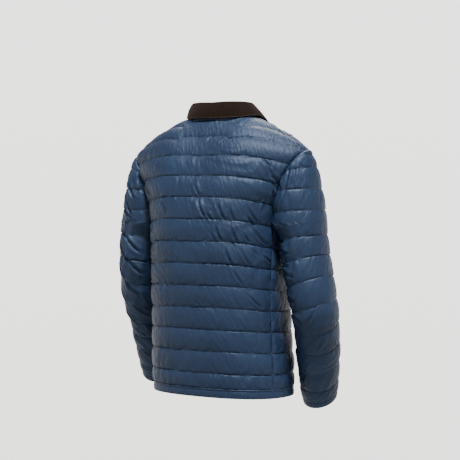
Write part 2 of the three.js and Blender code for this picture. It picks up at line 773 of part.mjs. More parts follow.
// Top edge of the stand above one point of the neckline
function standTop(point) {
  const { height, lean } = tableAt(standTops, 'share', neckShare(point));
  return point.clone().addScaledVector(upward, height)
    .addScaledVector(neckOut(point), lean);
}

function standPair(point) {
  return layer(point, neckOut(point), 0);
}

function standRows() {
  const seam = neckline();
  const bottom = seam.map((pair, i) => {
    const before = seam[Math.max(0, i - 1)].outer;
    const after = seam[Math.min(seam.length - 1, i + 1)].outer;
    const away = after.clone().sub(before).cross(pair.outer.clone().sub(pair.inner)).normalize();
    if (away.dot(upward) < 0) away.negate();
    return moved(pair, away, seamGap);
  });
  const points = seam.map(basePoint);
  const top = points.map((point) => standPair(standTop(point)));
  const waist = points.map((point) => standPair(point.clone().lerp(standTop(point), 0.5)));
  return [bottom, waist, top].map((pairs) => ({ pairs, kept: true }));
}

// One cross-section of the leaf: over the fold and down to its lower edge
function leafSection(seamPoint) {
  const out = neckOut(seamPoint);
  const top = standTop(seamPoint);
  const edge = tableAt(leafEdges, 'share', neckShare(seamPoint));
  const at = (origin, side, height, turn) => {
    const point = origin.clone().addScaledVector(out, side).addScaledVector(upward, height);
    const normal = out.clone().multiplyScalar(Math.cos(turn)).addScaledVector(upward, -Math.sin(turn));
    return {
      outer: point.clone().addScaledVector(normal, -leafOuter),
      inner: point.clone().addScaledVector(normal, leafInner),
    };
  };
  const sections = foldPath.map((step) => at(top, step.out, step.up, step.turn * degree));
  const last = foldPath.at(-1);
  const from = top.clone().addScaledVector(out, last.out).addScaledVector(upward, last.up);
  const to = seamPoint.clone().addScaledVector(out, edge.out).addScaledVector(upward, edge.up);
  const fall = to.clone().sub(from);
  const slope = Math.PI / 2 + Math.atan2(-fall.z, fall.dot(out));
  for (let i = 1; i <= leafRows; i += 1) {
    const point = from.clone().lerp(to, i / leafRows);
    sections.push(at(point, 0, 0, slope));
  }
  return sections;
}

// The leaf of the collar, from the fold to its lower edge
function leafRowsOf() {
  const points = neckline().map(basePoint).filter((point) => neckShare(point) < leafEndShare);
  const sections = points.map(leafSection);
  return sections[0].map((pair, i) => ({ pairs: sections.map((section) => section[i]), kept: true }));
}

// Angle of the placket's edge, or of a share of the way out to it
function placketAngle(s, share) {
  const widening = bodyPoint(placketTrial, s).x / rounded(Math.sin(placketTrial * degree));
  return 180 - Math.asin((placketHalfWidth * share / widening) ** (roundness / 2)) / degree;
}

// The placket over the closed centre front, from the fronts' own points
function placketRows() {
  const lengths = rowLengths().filter((s) => s < frontTopS - 6);
  lengths.push(frontTopS - 4);
  return lengths.map((s) => ({
    kept: true,
    pairs: [-1, -0.5, 0, 0.5, 1].map((share) => {
      const angle = share === 0 ? 180 : Math.sign(share) * placketAngle(s, Math.abs(share));
      const point = bodyPoint(angle, s);
      const normal = bodyNormal(angle, s);
      point.addScaledVector(normal, lineWall + placketClear);
      return {
        inner: point,
        outer: point.clone().addScaledVector(normal, placketThickness),
      };
    }),
  }));
}

// A row's points with their shares of the way across it
function sharesOf(row) {
  const last = row.pairs.length - 1;
  return row.pairs.map((pair, i) => (last ? i / last : 0));
}

// Triangles between two lines of points
function strip(faces, a, aShares, b, bShares) {
  let i = 0;
  let j = 0;
  while (i < a.length - 1 || j < b.length - 1) {
    const nextA = i < a.length - 1 ? aShares[i + 1] : Infinity;
    const nextB = j < b.length - 1 ? bShares[j + 1] : Infinity;
    if (nextA <= nextB) {
      faces.push(a[i], a[i + 1], b[j]);
      i += 1;
    } else {
      faces.push(a[i], b[j + 1], b[j]);
      j += 1;
    }
  }
}

// A closed wall from rows of inside and outside points. Closed rows run all
// the way round, and the edges of the others are closed off.
function wallGeometry(rows) {
  const faces = [];
  const kept = rows.filter((row) => row.kept);
  const outer = (row) => row.pairs.map((pair) => pair.outer);
  const inner = (row) => row.pairs.map((pair) => pair.inner);
  const first = rows[0];
  const last = rows.at(-1);
  for (let r = 0; r < rows.length - 1; r += 1) {
    strip(faces, outer(rows[r]), sharesOf(rows[r]), outer(rows[r + 1]), sharesOf(rows[r + 1]));
  }
  for (let r = 0; r < kept.length - 1; r += 1) {
    strip(faces, inner(kept[r + 1]), sharesOf(kept[r + 1]), inner(kept[r]), sharesOf(kept[r]));
  }
  strip(faces, inner(first), sharesOf(first), outer(first), sharesOf(first));
  strip(faces, outer(last), sharesOf(last), inner(last), sharesOf(last));
  const openFrom = rows.filter((row) => row.closed).length;
  const open = rows.slice(Math.max(0, openFrom - 1));
  const openKept = open.filter((row) => row.kept);
  const order = (list) => list.map((row) => open.indexOf(row));
  const a = order(open);
  const b = order(openKept);
  const side = (list, which, end) => list.map((row) => row.pairs.at(end)[which]);
  strip(faces, side(open, 'outer', 0), a, side(openKept, 'inner', 0), b);
  const end = [];
  strip(end, side(open, 'outer', -1), a, side(openKept, 'inner', -1), b);
  return solidFrom([...faces, ...end.reverse()]);
}

// A geometry from corner points, three to a triangle, facing out
function solidFrom(corners) {
  const whole = corners.map((point) => new THREE.Vector3(point.x, point.y, point.z));
  let volume = 0;
  for (let i = 0; i < whole.length; i += 3) {
    volume += whole[i].dot(whole[i + 1].clone().cross(whole[i + 2]));
  }
  const positions = [];
  for (let i = 0; i < whole.length; i += 3) {
    const [p, q, r] = volume > 0 ? [0, 1, 2] : [0, 2, 1];
    const corner = [whole[i + p], whole[i + q], whole[i + r]];
    const flat = corner[0].distanceTo(corner[1]) < tiny || corner[1].distanceTo(corner[2]) < tiny
      || corner[2].distanceTo(corner[0]) < tiny;
    if (!flat) corner.forEach((point) => positions.push(point.x, point.y, point.z));
  }
  const geometry = new THREE.BufferGeometry();
  geometry.setAttribute('position', new THREE.Float32BufferAttribute(positions, 3));
  return mergeVertices(geometry, tiny);
}

// A press stud's cap, its flat back to the placket
function studGeometry() {
  const profile = [
    new THREE.Vector2(0, 0),
    new THREE.Vector2(studRadius * 0.92, 0),
    new THREE.Vector2(studRadius, studHeight * 0.35),
    new THREE.Vector2(studRadius * 0.8, studHeight * 0.9),
    new THREE.Vector2(0, studHeight),
  ];
  const geometry = new THREE.LatheGeometry(profile, 16);
  geometry.deleteAttribute('normal');
  geometry.deleteAttribute('uv');
  return mergeVertices(geometry, tiny);
}

function named(name, geometry, look) {
  const mesh = new THREE.Mesh(geometry, new THREE.MeshStandardMaterial(look));
  mesh.name = name;
  return mesh;
}

function studs() {
  const low = studInset;
  const high = frontTopS - studInset;
  return Array.from({ length: studCount }, (unused, i) => {
    const s = low + (high - low) * i / (studCount - 1);
    const stud = named(`stud_${i + 1}`, studGeometry(), metal);
    const normal = bodyNormal(180, s);
    const lift = lineWall + placketClear + placketThickness + studGap;
    stud.position.copy(bodyPoint(180, s).addScaledVector(normal, lift));
    stud.position.x = 0;
    stud.quaternion.setFromUnitVectors(new THREE.Vector3(0, 1, 0), normal);
    return stud;
  });
}

const tiny = 1e-3;
const underarmHeight = bodyPoint(underarmAngle, underarmS).z;
const tipS = topLength(90);
const neckPointAngle = 180 - neckAngle(90);
const frontTopS = topLength(180);
const frontNeckS = topLength(neckPointAngle + 0.01);
const backFoldLines = backFolds.map((fold) => new THREE.Line3(
  bodyPoint(fold.fromAngle, fold.fromS),
  bodyPoint(fold.toAngle, fold.toS),
));
const armFoldLines = armFolds.map((fold) => ({
  side: fold.side,
  line: new THREE.Line3(
    armPoint(armRing(fold.side, fold.fromQ), fold.fromTurn * degree),
    armPoint(armRing(fold.side, fold.toQ), fold.toTurn * degree),
  ),
}));

const [rightLower, rightUpper] = partedSleeve(-1);

const jacket = new THREE.Group();
jacket.add(
  named('back', wallGeometry(backRows()), cloth),
  named('front_right', wallGeometry(frontRows(-1)), cloth),
  named('front_left', wallGeometry(frontRows(1)), cloth),
  named('sleeve_right_upper', wallGeometry(rightUpper), cloth),
  named('sleeve_right_lower', wallGeometry(rightLower), cloth),
  named('sleeve_left', wallGeometry(sleeveRows(1)), cloth),
  named('collar_stand', wallGeometry(standRows()), cord),
  named('collar_leaf', wallGeometry(leafRowsOf()), cord),
  named('front_placket', wallGeometry(placketRows()), cloth),
  ...studs(),
);

export default jacket;
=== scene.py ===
"""Looks of a worn, hollow quilted jacket with a turned-down cord collar.

Metres, +Z up, front towards -Y, the wearer's left at +X. Each cut piece is a
fine wall on the form of its solid: puffed channels, puckers beside every
seam, listed creases and rows of stitches.
"""

import math

import bmesh
import bpy
import numpy as np
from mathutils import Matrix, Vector


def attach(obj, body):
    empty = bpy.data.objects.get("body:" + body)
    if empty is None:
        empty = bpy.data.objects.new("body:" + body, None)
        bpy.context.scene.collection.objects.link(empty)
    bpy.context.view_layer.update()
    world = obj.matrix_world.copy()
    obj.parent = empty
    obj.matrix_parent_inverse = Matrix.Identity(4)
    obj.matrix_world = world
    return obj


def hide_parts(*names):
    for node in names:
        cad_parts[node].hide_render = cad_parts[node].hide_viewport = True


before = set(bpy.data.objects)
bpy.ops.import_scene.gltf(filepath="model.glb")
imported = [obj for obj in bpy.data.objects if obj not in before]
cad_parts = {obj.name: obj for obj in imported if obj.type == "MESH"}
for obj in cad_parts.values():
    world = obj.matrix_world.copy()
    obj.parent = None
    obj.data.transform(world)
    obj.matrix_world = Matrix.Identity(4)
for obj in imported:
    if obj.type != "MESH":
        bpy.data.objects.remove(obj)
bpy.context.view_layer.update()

# Quilting
CHANNEL = 0.0525
FIRST_LINE = 0.059
LINE_COUNT = 12
SLEEVE_CHANNEL = 0.053
HEM_BAND = 0.018
SECOND_HEM_ROW = 0.023
INNER_WALL = 0.002
LINE_WALL = 0.001
PUFF = 0.0043
SLEEVE_PUFF = 0.0035
HEM_PUFF = 0.0012
GROOVE = 0.0006  # how far a row of stitches bites in
SEAM_FADE = 0.010  # over which the quilting rises from a seam
YOKE_FROM = 0.560  # above it the back is calm

# Body rings, from the hem to the chest: height, half width, depth behind,
# depth in front, middle
BODY_RINGS = [
    (-0.690, 0.176, 0.129, 0.126, -0.009),
    (-0.600, 0.174, 0.131, 0.128, -0.005),
    (-0.500, 0.169, 0.135, 0.132, 0.001),
    (-0.400, 0.166, 0.140, 0.135, 0.006),
    (-0.270, 0.165, 0.143, 0.137, 0.010),
]
HEM_Z = -0.672
CHEST_Z = -0.270
ROUNDNESS = 2.4
SIDE_FALL = 0.045
SIDE_TILT = 0.022
MERIDIAN_PULL = 1.1
MERIDIAN_STEPS = 14
NECK_HALF_WIDTH = 0.082
NECK_BACK = 0.048
NECK_FRONT = 0.090
NECK_RISE = 0.005
NECK_DROP = 0.070
SHOULDER_REACH = 0.235
RIDGE_SLOPE = 0.3
RIDGE_BEND = 1.6

# Side seam and armhole: length from the hem, angle from the centre back
SIDE_SEAM = [(0, 70), (0.150, 72.5), (0.300, 76), (0.4265, 82)]
UNDERARM_S = 0.4265
UNDERARM_ANGLE = 82
ARMHOLE_BACK = 5
ARMHOLE_FRONT = 26

# Sleeve cap beside the armhole: length, middle, half sizes, rise outwards
CAP_RINGS = [
    (0.4265, 0.225, 0.051, 0.064, 0.015),
    (0.4615, 0.224, 0.049, 0.062, 0.005),
    (0.5140, 0.219, 0.045, 0.058, 0.006),
    (0.5665, 0.216, 0.038, 0.048, 0.012),
    (0.6015, 0.217, 0.030, 0.036, 0.003),
    (0.6190, 0.222, 0.022, 0.026, -0.003),
    (0.6380, 0.231, 0.006, 0.008, -0.002),
]
# Arms below it: distance from the underarm, middle x, y, z and half sizes
RIGHT_ARM = [
    (0, 0.225, 0, -0.257, 0.051, 0.064),
    (0.083, 0.233, -0.001, -0.343, 0.053, 0.064),
    (0.136, 0.243, 0, -0.396, 0.053, 0.063),
    (0.189, 0.252, -0.003, -0.449, 0.052, 0.061),
    (0.242, 0.250, -0.020, -0.499, 0.050, 0.058),
    (0.348, 0.232, -0.068, -0.594, 0.047, 0.052),
    (0.454, 0.209, -0.123, -0.686, 0.040, 0.045),
]
LEFT_ARM = [
    (0, 0.225, 0, -0.257, 0.051, 0.064),
    (0.083, 0.233, -0.003, -0.341, 0.053, 0.064),
    (0.136, 0.239, -0.013, -0.392, 0.053, 0.063),
    (0.189, 0.244, -0.033, -0.440, 0.052, 0.061),
    (0.242, 0.249, -0.058, -0.484, 0.049, 0.057),
    (0.348, 0.260, -0.100, -0.568, 0.046, 0.051),
    (0.454, 0.270, -0.138, -0.652, 0.040, 0.045),
]
SLEEVE_LINE_S = 0.4615
SLEEVE_FIRST_LINE = 0.030
SLEEVE_CHANNELS = 8
SLEEVE_LENGTH = SLEEVE_FIRST_LINE + SLEEVE_CHANNELS * SLEEVE_CHANNEL
CUFF_HEM = 0.018
EDGE_REACH = 110
ARM_TILT = 0.006
ARM_GAP = 0.0042
ARM_CLEARANCE = 0.0072
CLEAR_FROM = 0.018

# Collar
STAND_TOPS = [  # share of the way round, height and lean outwards
    (0, 0.024, -0.003),
    (0.3, 0.028, -0.009),
    (0.5, 0.030, -0.008),
    (0.65, 0.027, 0.002),
    (0.8, 0.021, 0.003),
    (1, 0.016, 0.003),
]
NECK_CENTRE_Y = -0.021
FOLD_PATH = [  # out and up from the stand's top edge
    (0, 0.0006),
    (0.0006, 0.0036),
    (0.0026, 0.0064),
    (0.0056, 0.0070),
    (0.0082, 0.0052),
]
LEAF_EDGES = [  # share of the way round, out and up from the neckline
    (0, 0.013, -0.008),
    (0.25, 0.012, -0.005),
    (0.42, 0.013, 0.004),
    (0.52, 0.018, 0.008),
    (0.62, 0.036, 0.003),
    (0.69, 0.042, -0.002),
    (0.78, 0.042, -0.014),
    (1, 0.038, -0.044),
]
LEAF_END = 0.955
LEAF_WALL = 0.0015
WALE = 0.0028  # from one cord to the next
WALE_HEIGHT = 0.00045

# Placket
PLACKET_HALF_WIDTH = 0.020
PLACKET_CLEAR = 0.00035
PLACKET_THICKNESS = 0.0022
PLACKET_TRIAL = 170  # angle at which the front's widening is read

# Fineness of the meshes
ROWS_A_CHANNEL = 20
COLUMN = 0.0026
EASING = 150  # passes that soften the bend below the neck point
INNER_STEP = 4  # outer points to one of the plain inside
STITCH_PITCH = 0.0038
STITCH_LENGTH = 0.0029
STITCH_RADIUS = 0.0003

# Creases of the back: start and end as an angle from the centre back and a
# length from the hem, half width, depth, and bow
BACK_CREASES = [
    (-5, 0.648, -1.5, 0.620, 0.0029, 0.0016, 0.002),
    (-16.5, 0.640, -9.5, 0.610, 0.0025, 0.0016, 0.002),
    (-46, 0.584, -62, 0.546, 0.0033, 0.0038, -0.004),
    (-62, 0.546, -84, 0.532, 0.0033, 0.0034, -0.002),
    (-52, 0.575, -66, 0.556, 0.0025, 0.0022, -0.002),
    (-69.5, 0.514, -82, 0.492, 0.0033, 0.0038, 0.002),
    (-75, 0.520, -84, 0.508, 0.0023, 0.0025, 0.001),
    (-1, 0.510, -5.5, 0.482, 0.0025, 0.0025, 0.002),
    (-4, 0.476, -11.5, 0.428, 0.0030, 0.0040, 0.003),
    (-12.5, 0.441, -17, 0.424, 0.0023, 0.0025, 0.001),
    (-20, 0.466, -28, 0.424, 0.0030, 0.0040, 0.003),
    (-31, 0.458, -36.5, 0.424, 0.0026, 0.0036, 0.002),
    (-47.5, 0.463, -62, 0.428, 0.0030, 0.0031, 0.004),
    (-48.5, 0.440, -56.5, 0.423, 0.0025, 0.0036, 0.001),
    (-19.5, 0.414, -26, 0.374, 0.0028, 0.0038, 0.003),
    (-15.5, 0.396, -19.5, 0.378, 0.0021, 0.0025, 0.001),
    (-33, 0.414, -41, 0.370, 0.0028, 0.0038, 0.003),
    (-36.5, 0.417, -40.5, 0.398, 0.0021, 0.0025, 0.001),
    (-45, 0.402, -52, 0.378, 0.0023, 0.0027, 0.002),
    (-54.5, 0.418, -71, 0.380, 0.0033, 0.0040, 0.004),
    (-28, 0.360, -35, 0.320, 0.0028, 0.0036, 0.003),
    (-41, 0.368, -51.5, 0.324, 0.0026, 0.0029, 0.003),
    (-53, 0.367, -60.5, 0.350, 0.0023, 0.0027, 0.001),
    (-65, 0.355, -77.5, 0.338, 0.0026, 0.0029, 0.002),
    (-34.5, 0.311, -43.5, 0.276, 0.0025, 0.0025, 0.002),
    (-45.5, 0.260, -62.5, 0.224, 0.0025, 0.0025, 0.003),
    (58, 0.432, 44, 0.394, 0.0030, 0.0034, -0.003),
    (66, 0.404, 56, 0.378, 0.0025, 0.0027, -0.002),
    (60, 0.520, 47, 0.486, 0.0026, 0.0027, -0.002),
    (28, 0.470, 20, 0.438, 0.0023, 0.0022, -0.002),
    (64, 0.340, 52, 0.312, 0.0023, 0.0022, -0.002),
]
# Creases of the left front, as angles from the centre back; the right front
# has them mirrored, a little lower
FRONT_CREASES = [
    (112, 0.545, 124, 0.512, 0.0030, 0.0034, 0.003),
    (106, 0.500, 122, 0.470, 0.0030, 0.0034, 0.003),
    (98, 0.440, 116, 0.410, 0.0030, 0.0034, 0.003),
    (94, 0.410, 108, 0.380, 0.0026, 0.0029, 0.002),
    (130, 0.600, 142, 0.570, 0.0025, 0.0025, 0.002),
    (90, 0.350, 104, 0.325, 0.0025, 0.0027, 0.002),
    (150, 0.420, 160, 0.392, 0.0023, 0.0022, 0.002),
    (120, 0.300, 134, 0.276, 0.0023, 0.0022, 0.002),
]
# Creases of the sleeves: start and end as a turn from the outer side towards
# the back, in degrees, and a height above the underarm
RIGHT_SLEEVE_CREASES = [
    (128, 0.160, 142, 0.095, 0.0037, 0.0052, 0.004),
    (140, 0.090, 150, 0.010, 0.0037, 0.0049, -0.004),
    (112, 0.172, 118, 0.086, 0.0028, 0.0029, 0.002),
    (92, 0.150, 100, 0.070, 0.0028, 0.0020, 0.002),
    (74, 0.160, 80, 0.090, 0.0028, 0.0018, 0.002),
    (150, 0.012, 112, -0.004, 0.0030, 0.0034, 0.002),
    (152, -0.022, 116, -0.036, 0.0030, 0.0038, -0.002),
    (150, -0.040, 100, -0.066, 0.0030, 0.0036, -0.003),
    (148, -0.078, 104, -0.096, 0.0028, 0.0029, -0.002),
    (146, -0.104, 96, -0.124, 0.0028, 0.0027, 0.003),
    (148, -0.150, 108, -0.172, 0.0030, 0.0034, -0.003),
    (146, -0.196, 100, -0.214, 0.0030, 0.0034, 0.003),
    (140, -0.236, 104, -0.262, 0.0026, 0.0027, -0.002),
    (60, -0.190, 88, -0.214, 0.0028, 0.0025, 0.003),
    (40, -0.250, 72, -0.276, 0.0028, 0.0022, 0.003),
    (130, -0.330, 96, -0.350, 0.0025, 0.0022, 0.002),
]
LEFT_SLEEVE_CREASES = [
    (62, 0.120, 96, 0.060, 0.0033, 0.0040, 0.004),
    (58, 0.086, 92, 0.010, 0.0033, 0.0040, 0.004),
    (48, 0.050, 84, -0.006, 0.0030, 0.0034, 0.003),
    (44, 0.010, 88, -0.046, 0.0031, 0.0038, 0.004),
    (74, -0.030, 122, -0.066, 0.0033, 0.0045, 0.003),
    (46, -0.040, 92, -0.090, 0.0031, 0.0038, 0.004),
    (88, -0.084, 130, -0.110, 0.0033, 0.0043, 0.003),
    (40, -0.086, 84, -0.130, 0.0030, 0.0034, 0.004),
    (70, -0.126, 120, -0.160, 0.0033, 0.0040, 0.003),
    (36, -0.150, 80, -0.182, 0.0028, 0.0031, 0.003),
    (84, -0.180, 128, -0.206, 0.0031, 0.0038, 0.003),
    (50, -0.205, 92, -0.236, 0.0028, 0.0031, 0.003),
    (72, -0.256, 112, -0.284, 0.0028, 0.0031, 0.003),
    (44, -0.290, 84, -0.316, 0.0026, 0.0027, 0.003),
    (80, -0.336, 116, -0.360, 0.0026, 0.0027, 0.002),
    (104, 0.150, 120, 0.080, 0.0030, 0.0034, 0.002),
]

# Camera and light
VIEW_TURN = math.radians(30)
CAMERA_DISTANCE = 3.7
CAMERA_HEIGHT = -0.237
LENS = 117.3
SENSOR = 36
SHIFT = (0.0174, -0.0326)
FLOOR_Z = -1.45
FLOOR_RADIUS = 3.5
FLOOR_SIDES = 96
AIR_STEPS = [(0.30, 0.45), (0.42, 0.90), (0.57, 1.0), (0.605, 0.12)]  # from below, and its brightness


def smooth(value):
    """A value held between 0 and 1, with level ends."""
    t = np.clip(value, 0, 1)
    return t * t * (3 - 2 * t)


def hermite(t):
    return (
        (1 + 2 * t) * (1 - t) ** 2,
        t * (1 - t) ** 2,
        t * t * (3 - 2 * t),
        t * t * (t - 1),
    )


def table_at(table, level):
    """The columns of a table after its first, at levels of the first."""
    rows = np.asarray(table, float)
    keys = rows[:, 0]
    level = np.asarray(level, float)
    last = len(keys) - 1
    i = np.clip(np.searchsorted(keys, level) - 1, 0, last - 1)
    before = rows[np.maximum(i - 1, 0)]
    a = rows[i]
    b = rows[i + 1]
    after = rows[np.minimum(i + 2, last)]
    span = (b - a)[..., :1]
    t = np.clip((level[..., None] - a[..., :1]) / span, -0.2, 1.2)
    slope_a = (b - before) / (b - before)[..., :1] * span
    slope_b = (after - a) / (after - a)[..., :1] * span
    h = hermite(t)
    return (h[0] * a + h[1] * slope_a + h[2] * b + h[3] * slope_b)[..., 1:]


def lattice(x, y, seed):
    """Random values from -1 to 1 at whole coordinates."""
    h = (x * 374761393 + y * 668265263 + seed * 1442695041) & 0xFFFFFFFF
    h = ((h ^ (h >> 13)) * 1274126177) & 0xFFFFFFFF
    return ((h ^ (h >> 16)) & 0xFFFF) / 32767.5 - 1


def noise(x, y, seed):
    """Smooth noise from about -1 to 1 with features one unit across."""
    x, y = np.broadcast_arrays(np.asarray(x, float), np.asarray(y, float))
    x, y = 0.86 * x - 0.51 * y + 0.37 * seed, 0.51 * x + 0.86 * y
    ix = np.floor(x).astype(np.int64)
    iy = np.floor(y).astype(np.int64)
    fx = smooth(x - ix)
    fy = smooth(y - iy)
    low = lattice(ix, iy, seed) * (1 - fx) + lattice(ix + 1, iy, seed) * fx
    high = lattice(ix, iy + 1, seed) * (1 - fx) + lattice(ix + 1, iy + 1, seed) * fx
    return low * (1 - fy) + high * fy


def rounded(value):
    return np.sign(value) * np.abs(value) ** (2 / ROUNDNESS)


def sin_of(angle):
    return np.sin(np.radians(angle))


def cos_of(angle):
    return np.cos(np.radians(angle))


def norm(vectors):
    return np.linalg.norm(vectors, axis=-1)


def unit(vectors):
    return vectors / np.maximum(norm(vectors)[..., None], 1e-12)


def ring_point(z, angle):
    """Points of the body's rings."""
    ring = table_at(BODY_RINGS, z)
    cos = cos_of(angle)
    depth = np.where(cos > 0, ring[..., 1], ring[..., 2])
    x = ring[..., 0] * rounded(sin_of(angle))
    y = ring[..., 3] + depth * rounded(cos)
    return np.stack([x, y, z + SIDE_TILT * x * smooth((-0.120 - z) / 0.260)], -1)


def top_end(angle):
    """Where the curves up the body end, on the neckline or shoulder ridge."""
    sin = sin_of(angle)
    reach = SHOULDER_REACH * np.abs(rounded(sin))
    behind = np.abs(angle) <= 90
    turn = np.where(behind, -1.0, 1.0)
    bow = np.sqrt(np.maximum(0, 1 - (reach / NECK_HALF_WIDTH) ** 2))
    beyond = reach - NECK_HALF_WIDTH
    ridge = -RIDGE_SLOPE * beyond - RIDGE_BEND * beyond * beyond
    open_y = np.where(behind, NECK_BACK * bow, -NECK_FRONT * bow)
    open_z = np.where(behind, NECK_RISE * bow, -NECK_DROP * bow**2)
    on_ridge = beyond >= 0
    y = np.where(on_ridge, 0, open_y)
    z = np.where(on_ridge, ridge, open_z)
    end = np.stack([np.sign(sin) * reach, y, z], -1)
    tangent_y = turn * (1 - bow) + 0.5 * turn * bow
    tangent = np.stack([np.zeros_like(bow), tangent_y, 0.87 * bow], -1)
    return end, unit(tangent)


def meridian_parts(angle):
    start = ring_point(np.full(np.shape(angle), CHEST_Z), angle)
    end, tangent = top_end(angle)
    pull = norm(end - start)[..., None] * MERIDIAN_PULL
    return start, end, tangent * pull, np.array([0, 0, 1.0]) * pull


def meridian_at(parts, t):
    start, end, arrive, leave = parts
    h = hermite(t[..., None])
    return h[0] * start + h[1] * leave + h[2] * end + h[3] * arrive


def meridian_lengths(parts):
    """Lengths along the curves at even steps, the steps first."""
    shape = parts[0].shape[:-1]
    lengths = [np.zeros(shape)]
    last = parts[0]
    for i in range(1, MERIDIAN_STEPS + 1):
        following = meridian_at(parts, np.full(shape, i / MERIDIAN_STEPS))
        lengths.append(lengths[-1] + norm(following - last))
        last = following
    return np.array(lengths)


def chest_length(angle):
    return (CHEST_Z - HEM_Z) / (1 - SIDE_FALL * sin_of(angle) ** 4)


def top_length(angle):
    """Length from the hem to the neckline or ridge."""
    angle = np.asarray(angle, float)
    return chest_length(angle) + meridian_lengths(meridian_parts(angle))[-1]


def body_point(angle, s):
    """The body's surface at angles from the centre back and lengths from the hem."""
    angle, s = np.broadcast_arrays(np.asarray(angle, float), np.asarray(s, float))
    squeeze = 1 - SIDE_FALL * sin_of(angle) ** 4
    low = ring_point(np.minimum(HEM_Z + s * squeeze, CHEST_Z), angle)
    parts = meridian_parts(angle)
    lengths = meridian_lengths(parts)
    along = s - chest_length(angle)
    i = np.clip((along[None] > lengths[1:]).sum(0), 0, MERIDIAN_STEPS - 1)
    a = np.take_along_axis(lengths, i[None], 0)[0]
    b = np.take_along_axis(lengths, i[None] + 1, 0)[0]
    t = (i + (along - a) / (b - a)) / MERIDIAN_STEPS
    high = meridian_at(parts, t)
    return np.where((along > 0)[..., None], high, low)


TIP_S = float(top_length(90.0))
FRONT_TOP_S = float(top_length(180.0))
NECK_POINT = math.degrees(math.asin((NECK_HALF_WIDTH / SHOULDER_REACH) ** (ROUNDNESS / 2)))


def armhole_angle(s, behind):
    rise = np.clip((s - UNDERARM_S) / (TIP_S - UNDERARM_S), 0, 1)
    side = UNDERARM_ANGLE + (90 - UNDERARM_ANGLE) * rise**5
    if behind:
        return side - ARMHOLE_BACK * np.sin(np.pi * rise**1.2)
    return side + ARMHOLE_FRONT * np.sin(np.pi * np.sqrt(rise))


def edge_angle(s, behind):
    """Angle of a panel's side edge: the side seam, then the armhole."""
    seam = table_at(SIDE_SEAM, s)[..., 0]
    return np.where(s > UNDERARM_S, armhole_angle(s, behind), seam)


def channel_shares():
    """Rows of one channel, closer beside the quilting lines."""
    even = np.arange(ROWS_A_CHANNEL) / ROWS_A_CHANNEL
    return 0.4 * even + 0.6 * (0.5 - 0.5 * np.cos(np.pi * even))


def levels_between(stops):
    """Rows from the first stop to the last, closer beside every stop."""
    rows = []
    for low, high in zip(stops, stops[1:]):
        step = max(1, round(ROWS_A_CHANNEL / (high - low) / 4 * CHANNEL * 0.2)) if high - low < 0.01 else 1
        shares = channel_shares()[::step] if high - low > 0.03 else channel_shares()[::4]
        rows.extend(low + (high - low) * shares)
    return np.array(rows + [stops[-1]])


def even_columns(start, end, count):
    """Angles that part the chest's ring evenly between two angles."""
    fine = np.linspace(start, end, 600)
    ring = ring_point(np.full(600, CHEST_Z), fine)
    travel = np.concatenate([[0], np.cumsum(norm(np.diff(ring, axis=0)))])
    return np.interp(np.linspace(0, travel[-1], count + 1), travel, fine)


def row_travel(points):
    """Distance along each row of a grid from its first point."""
    steps = norm(np.diff(points, axis=1))
    return np.concatenate([np.zeros((len(points), 1)), np.cumsum(steps, axis=1)], axis=1)


def grid_normals(points, flip):
    along = np.gradient(points, axis=0)
    across = np.gradient(points, axis=1)
    return unit(np.cross(across, along)) * (-1 if flip else 1)


def eased(base, weight, spread):
    """A net with the bends across its rows softened where the weight says."""
    soft = base
    for _ in range(spread):
        middle = (soft[:, :-2] + 2 * soft[:, 1:-1] + soft[:, 2:]) / 4
        soft = np.concatenate([soft[:, :1], middle, soft[:, -1:]], axis=1)
    return base + (soft - base) * weight[..., None]


def quilt_place(s, lines):
    """Share of the way across a channel, its height, and its number."""
    i = np.clip(np.searchsorted(lines, s, side="right") - 1, 0, len(lines) - 2)
    low = np.asarray(lines)[i]
    high = np.asarray(lines)[i + 1]
    return np.clip((s - low) / (high - low), 0, 1), high - low, i


def waver(a, s, seed):
    """How far the quilting lines stray from their level."""
    return 0.0010 * noise(a / 0.055, s / CHANNEL, seed) + 0.0004 * noise(a / 0.018, s / CHANNEL, seed + 1)


def pinned(share, height, hard):
    """How far a spot is from a quilting line, from 0 on it to 1."""
    near = np.minimum(share, 1 - share) * height
    return smooth(near / hard)


def quilt_relief(a, s, lines, edge, seed, flat_below, crumple, puff):
    """Height of the quilted surface above its cut, from the place on the piece.

    a runs across and s up, edge is the distance from the nearest seam, and
    crumple says how much the cloth is creased there.
    """
    level = s - waver(a, s, seed) * smooth((s - flat_below - 0.01) / 0.03)
    share, height, number = quilt_place(level, lines)
    size = np.minimum(1, height / CHANNEL) ** 0.7
    shape = np.maximum(0, np.sin(np.pi * share)) ** (0.45 + 0.33 * share)
    uneven = 1 + 0.25 * noise(a / 0.070, number * 1.7 + 0.3, seed + 2)
    rise = puff * size * shape * uneven
    flat_band = level < flat_below
    near = np.minimum(share, 1 - share) * height
    rise = rise - GROOVE * np.exp(-((near / 0.0013) ** 2))
    rise = np.where(flat_band, HEM_PUFF * np.abs(np.sin(np.pi * share)) ** 0.6, rise)
    fade = np.sin(np.pi / 2 * np.clip(edge / SEAM_FADE, 0, 1)) ** 0.8
    pull = pinned(share, height, 0.0030)
    puckers = line_puckers(a, share, height, number, seed + 10) * pull
    puckers += edge_puckers(edge, s, seed + 20) * smooth(edge / 0.003) * pull
    folds = cloth_folds(a, s, seed + 30) * crumple * pull * smooth(edge / 0.012)
    calm = np.where(flat_band, 0.35, 1)
    return rise * fade + (puckers + folds) * calm, level


